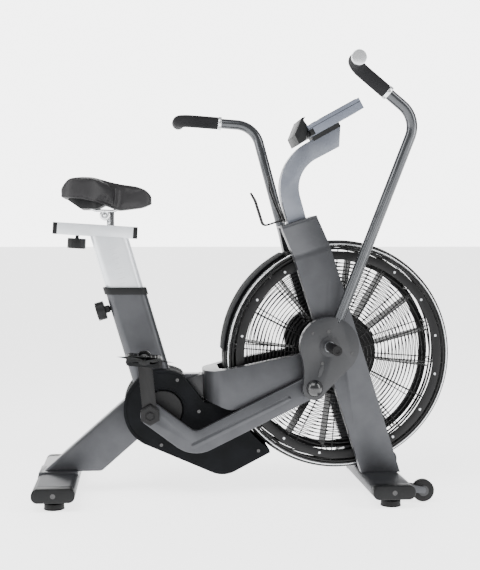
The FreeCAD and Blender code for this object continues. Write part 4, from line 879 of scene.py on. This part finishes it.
# %% Post marks
post_base = Vector((-0.2675, 0, 0.302))
POST_FACE = 25.5
marks = []
for side in (RIGHT, LEFT):
    for number in range(9):
        spot = post_base + seat_up * (318 + 15 * number) * MM
        bpy.ops.mesh.primitive_plane_add(size=1)
        mark = bpy.context.active_object
        bpy.ops.object.mode_set(mode="EDIT")
        bpy.ops.mesh.select_all(action="SELECT")
        bpy.ops.transform.resize(value=((14 if number % 2 else 22) * MM, 1.2 * MM, 1))
        bpy.ops.mesh.extrude_region_move(TRANSFORM_OT_translate={"value": (0, 0, 0.5 * MM)})
        bpy.ops.object.mode_set(mode="OBJECT")
        outward = Vector((0, side, 0))
        turn = Matrix((-seat_back, outward.cross(-seat_back), outward)).transposed().to_4x4()
        mark.matrix_world = Matrix.Translation(Vector((spot.x, side * (POST_FACE - 0.3) * MM, spot.z))) @ turn
        marks.append(settle(mark))
marks = joined(marks, "post_height_marks")
hand_over(marks, "seat_post", rivet_metal)
print("marks on each face:", 9)

# %% Wheels, feet and end caps
WHEEL = Vector((0.4885, 0, 0.0345))
WHEEL_Y = 215
for side, word in WORDS.items():
    for face in (1, -1):
        hub = turned("wheel_hub_" + word, 15, [(0, 1.4), (3, 0.6), (5, 0), (1, 1.2)],
                     Matrix.Translation((WHEEL.x, (side * WHEEL_Y + face * 10.8) * MM, WHEEL.z)) @ TO_SIDE[face], 32)
        hand_over(hub, "wheel_" + word, satin_abs)
feet = []
for x, half in ((-0.5525, 190), (0.3895, 240)):
    for side in (RIGHT, LEFT):
        feet.append(turned("foot_skirt", 29, [(0, 2), (2, 1.2), (1.2, 6), (2, 1)],
                           Matrix.Translation((x, side * half * MM, 0.0002)), 40))
feet = joined(feet, "foot_skirts")
hand_over(feet, "frame", rubber)
for x_mm, half, name in ((-552.5, 240, "rear"), (389.5, 290, "front")):
    bolts = [turned("cap_screw", 7, [(0, 0.6), (0.8, 0.5), (2.2, 0), (0.4, -0.8)],
                    facing(side, Vector((x_mm * MM, 0, 0.046)), half - 0.2), 28) for side in (RIGHT, LEFT)]
    hand_over(joined(bolts, name + "_cap_screws"), "frame", gloss_abs)
print("wheels and feet done")

# %% [markdown]
# ## Floor and studio light
# A picture studio glows behind the object and stays dim in front of it, so the background is white while the
# paint keeps its depth. The world is bright toward +Y and dim toward -Y. Two tall strips at the sides draw
# bright lines along the rounded edges, and a soft box above fills the tops.

# %% Studio
FLOOR_SIZE = 400
FLOOR_GLOW = 2.4
DIM, BRIGHT = 0.5, 5.4
bpy.ops.mesh.primitive_plane_add(size=FLOOR_SIZE)
floor = bpy.context.active_object
floor.name = "studio_floor"
floor.data.materials.append(new_material("studio_floor", "ffffff", Roughness=0.9, Emission_Color=(1, 1, 1, 1),
                                         Emission_Strength=FLOOR_GLOW))
world = bpy.data.worlds.new("studio")
scene.world = world
world.use_nodes = True
sky = world.node_tree
background = sky.nodes["Background"]
background.inputs["Color"].default_value = (1, 1, 1, 1)
heading = add_node(sky, "ShaderNodeTexCoord")
parts = add_node(sky, "ShaderNodeSeparateXYZ", None, {"Vector": heading.outputs["Generated"]})
glow = add_node(sky, "ShaderNodeMapRange", {"From Min": 0.8, "From Max": 0.92, "To Min": DIM, "To Max": BRIGHT},
                {"Value": parts.outputs["Y"]})
sky.links.new(glow.outputs["Result"], background.inputs["Strength"])


def soft_light(name, size, power, place, aim):
    lamp = bpy.data.lights.new(name, "AREA")
    lamp.shape = "RECTANGLE"
    lamp.size, lamp.size_y = size
    lamp.energy = power
    thing = bpy.data.objects.new(name, lamp)
    thing.location = place
    thing.rotation_euler = (Vector(aim) - Vector(place)).to_track_quat("-Z", "Y").to_euler()
    scene.collection.objects.link(thing)
    return thing


soft_light("key", (2.4, 1.6), 70, (-1.0, -1.6, 3.2), (0, 0, 0.6))
soft_light("front_strip", (0.8, 2.6), 55, (2.4, -1.4, 1.6), (0.1, 0, 0.6))
soft_light("rear_strip", (0.8, 2.6), 45, (-2.6, -0.9, 1.5), (0, 0, 0.6))
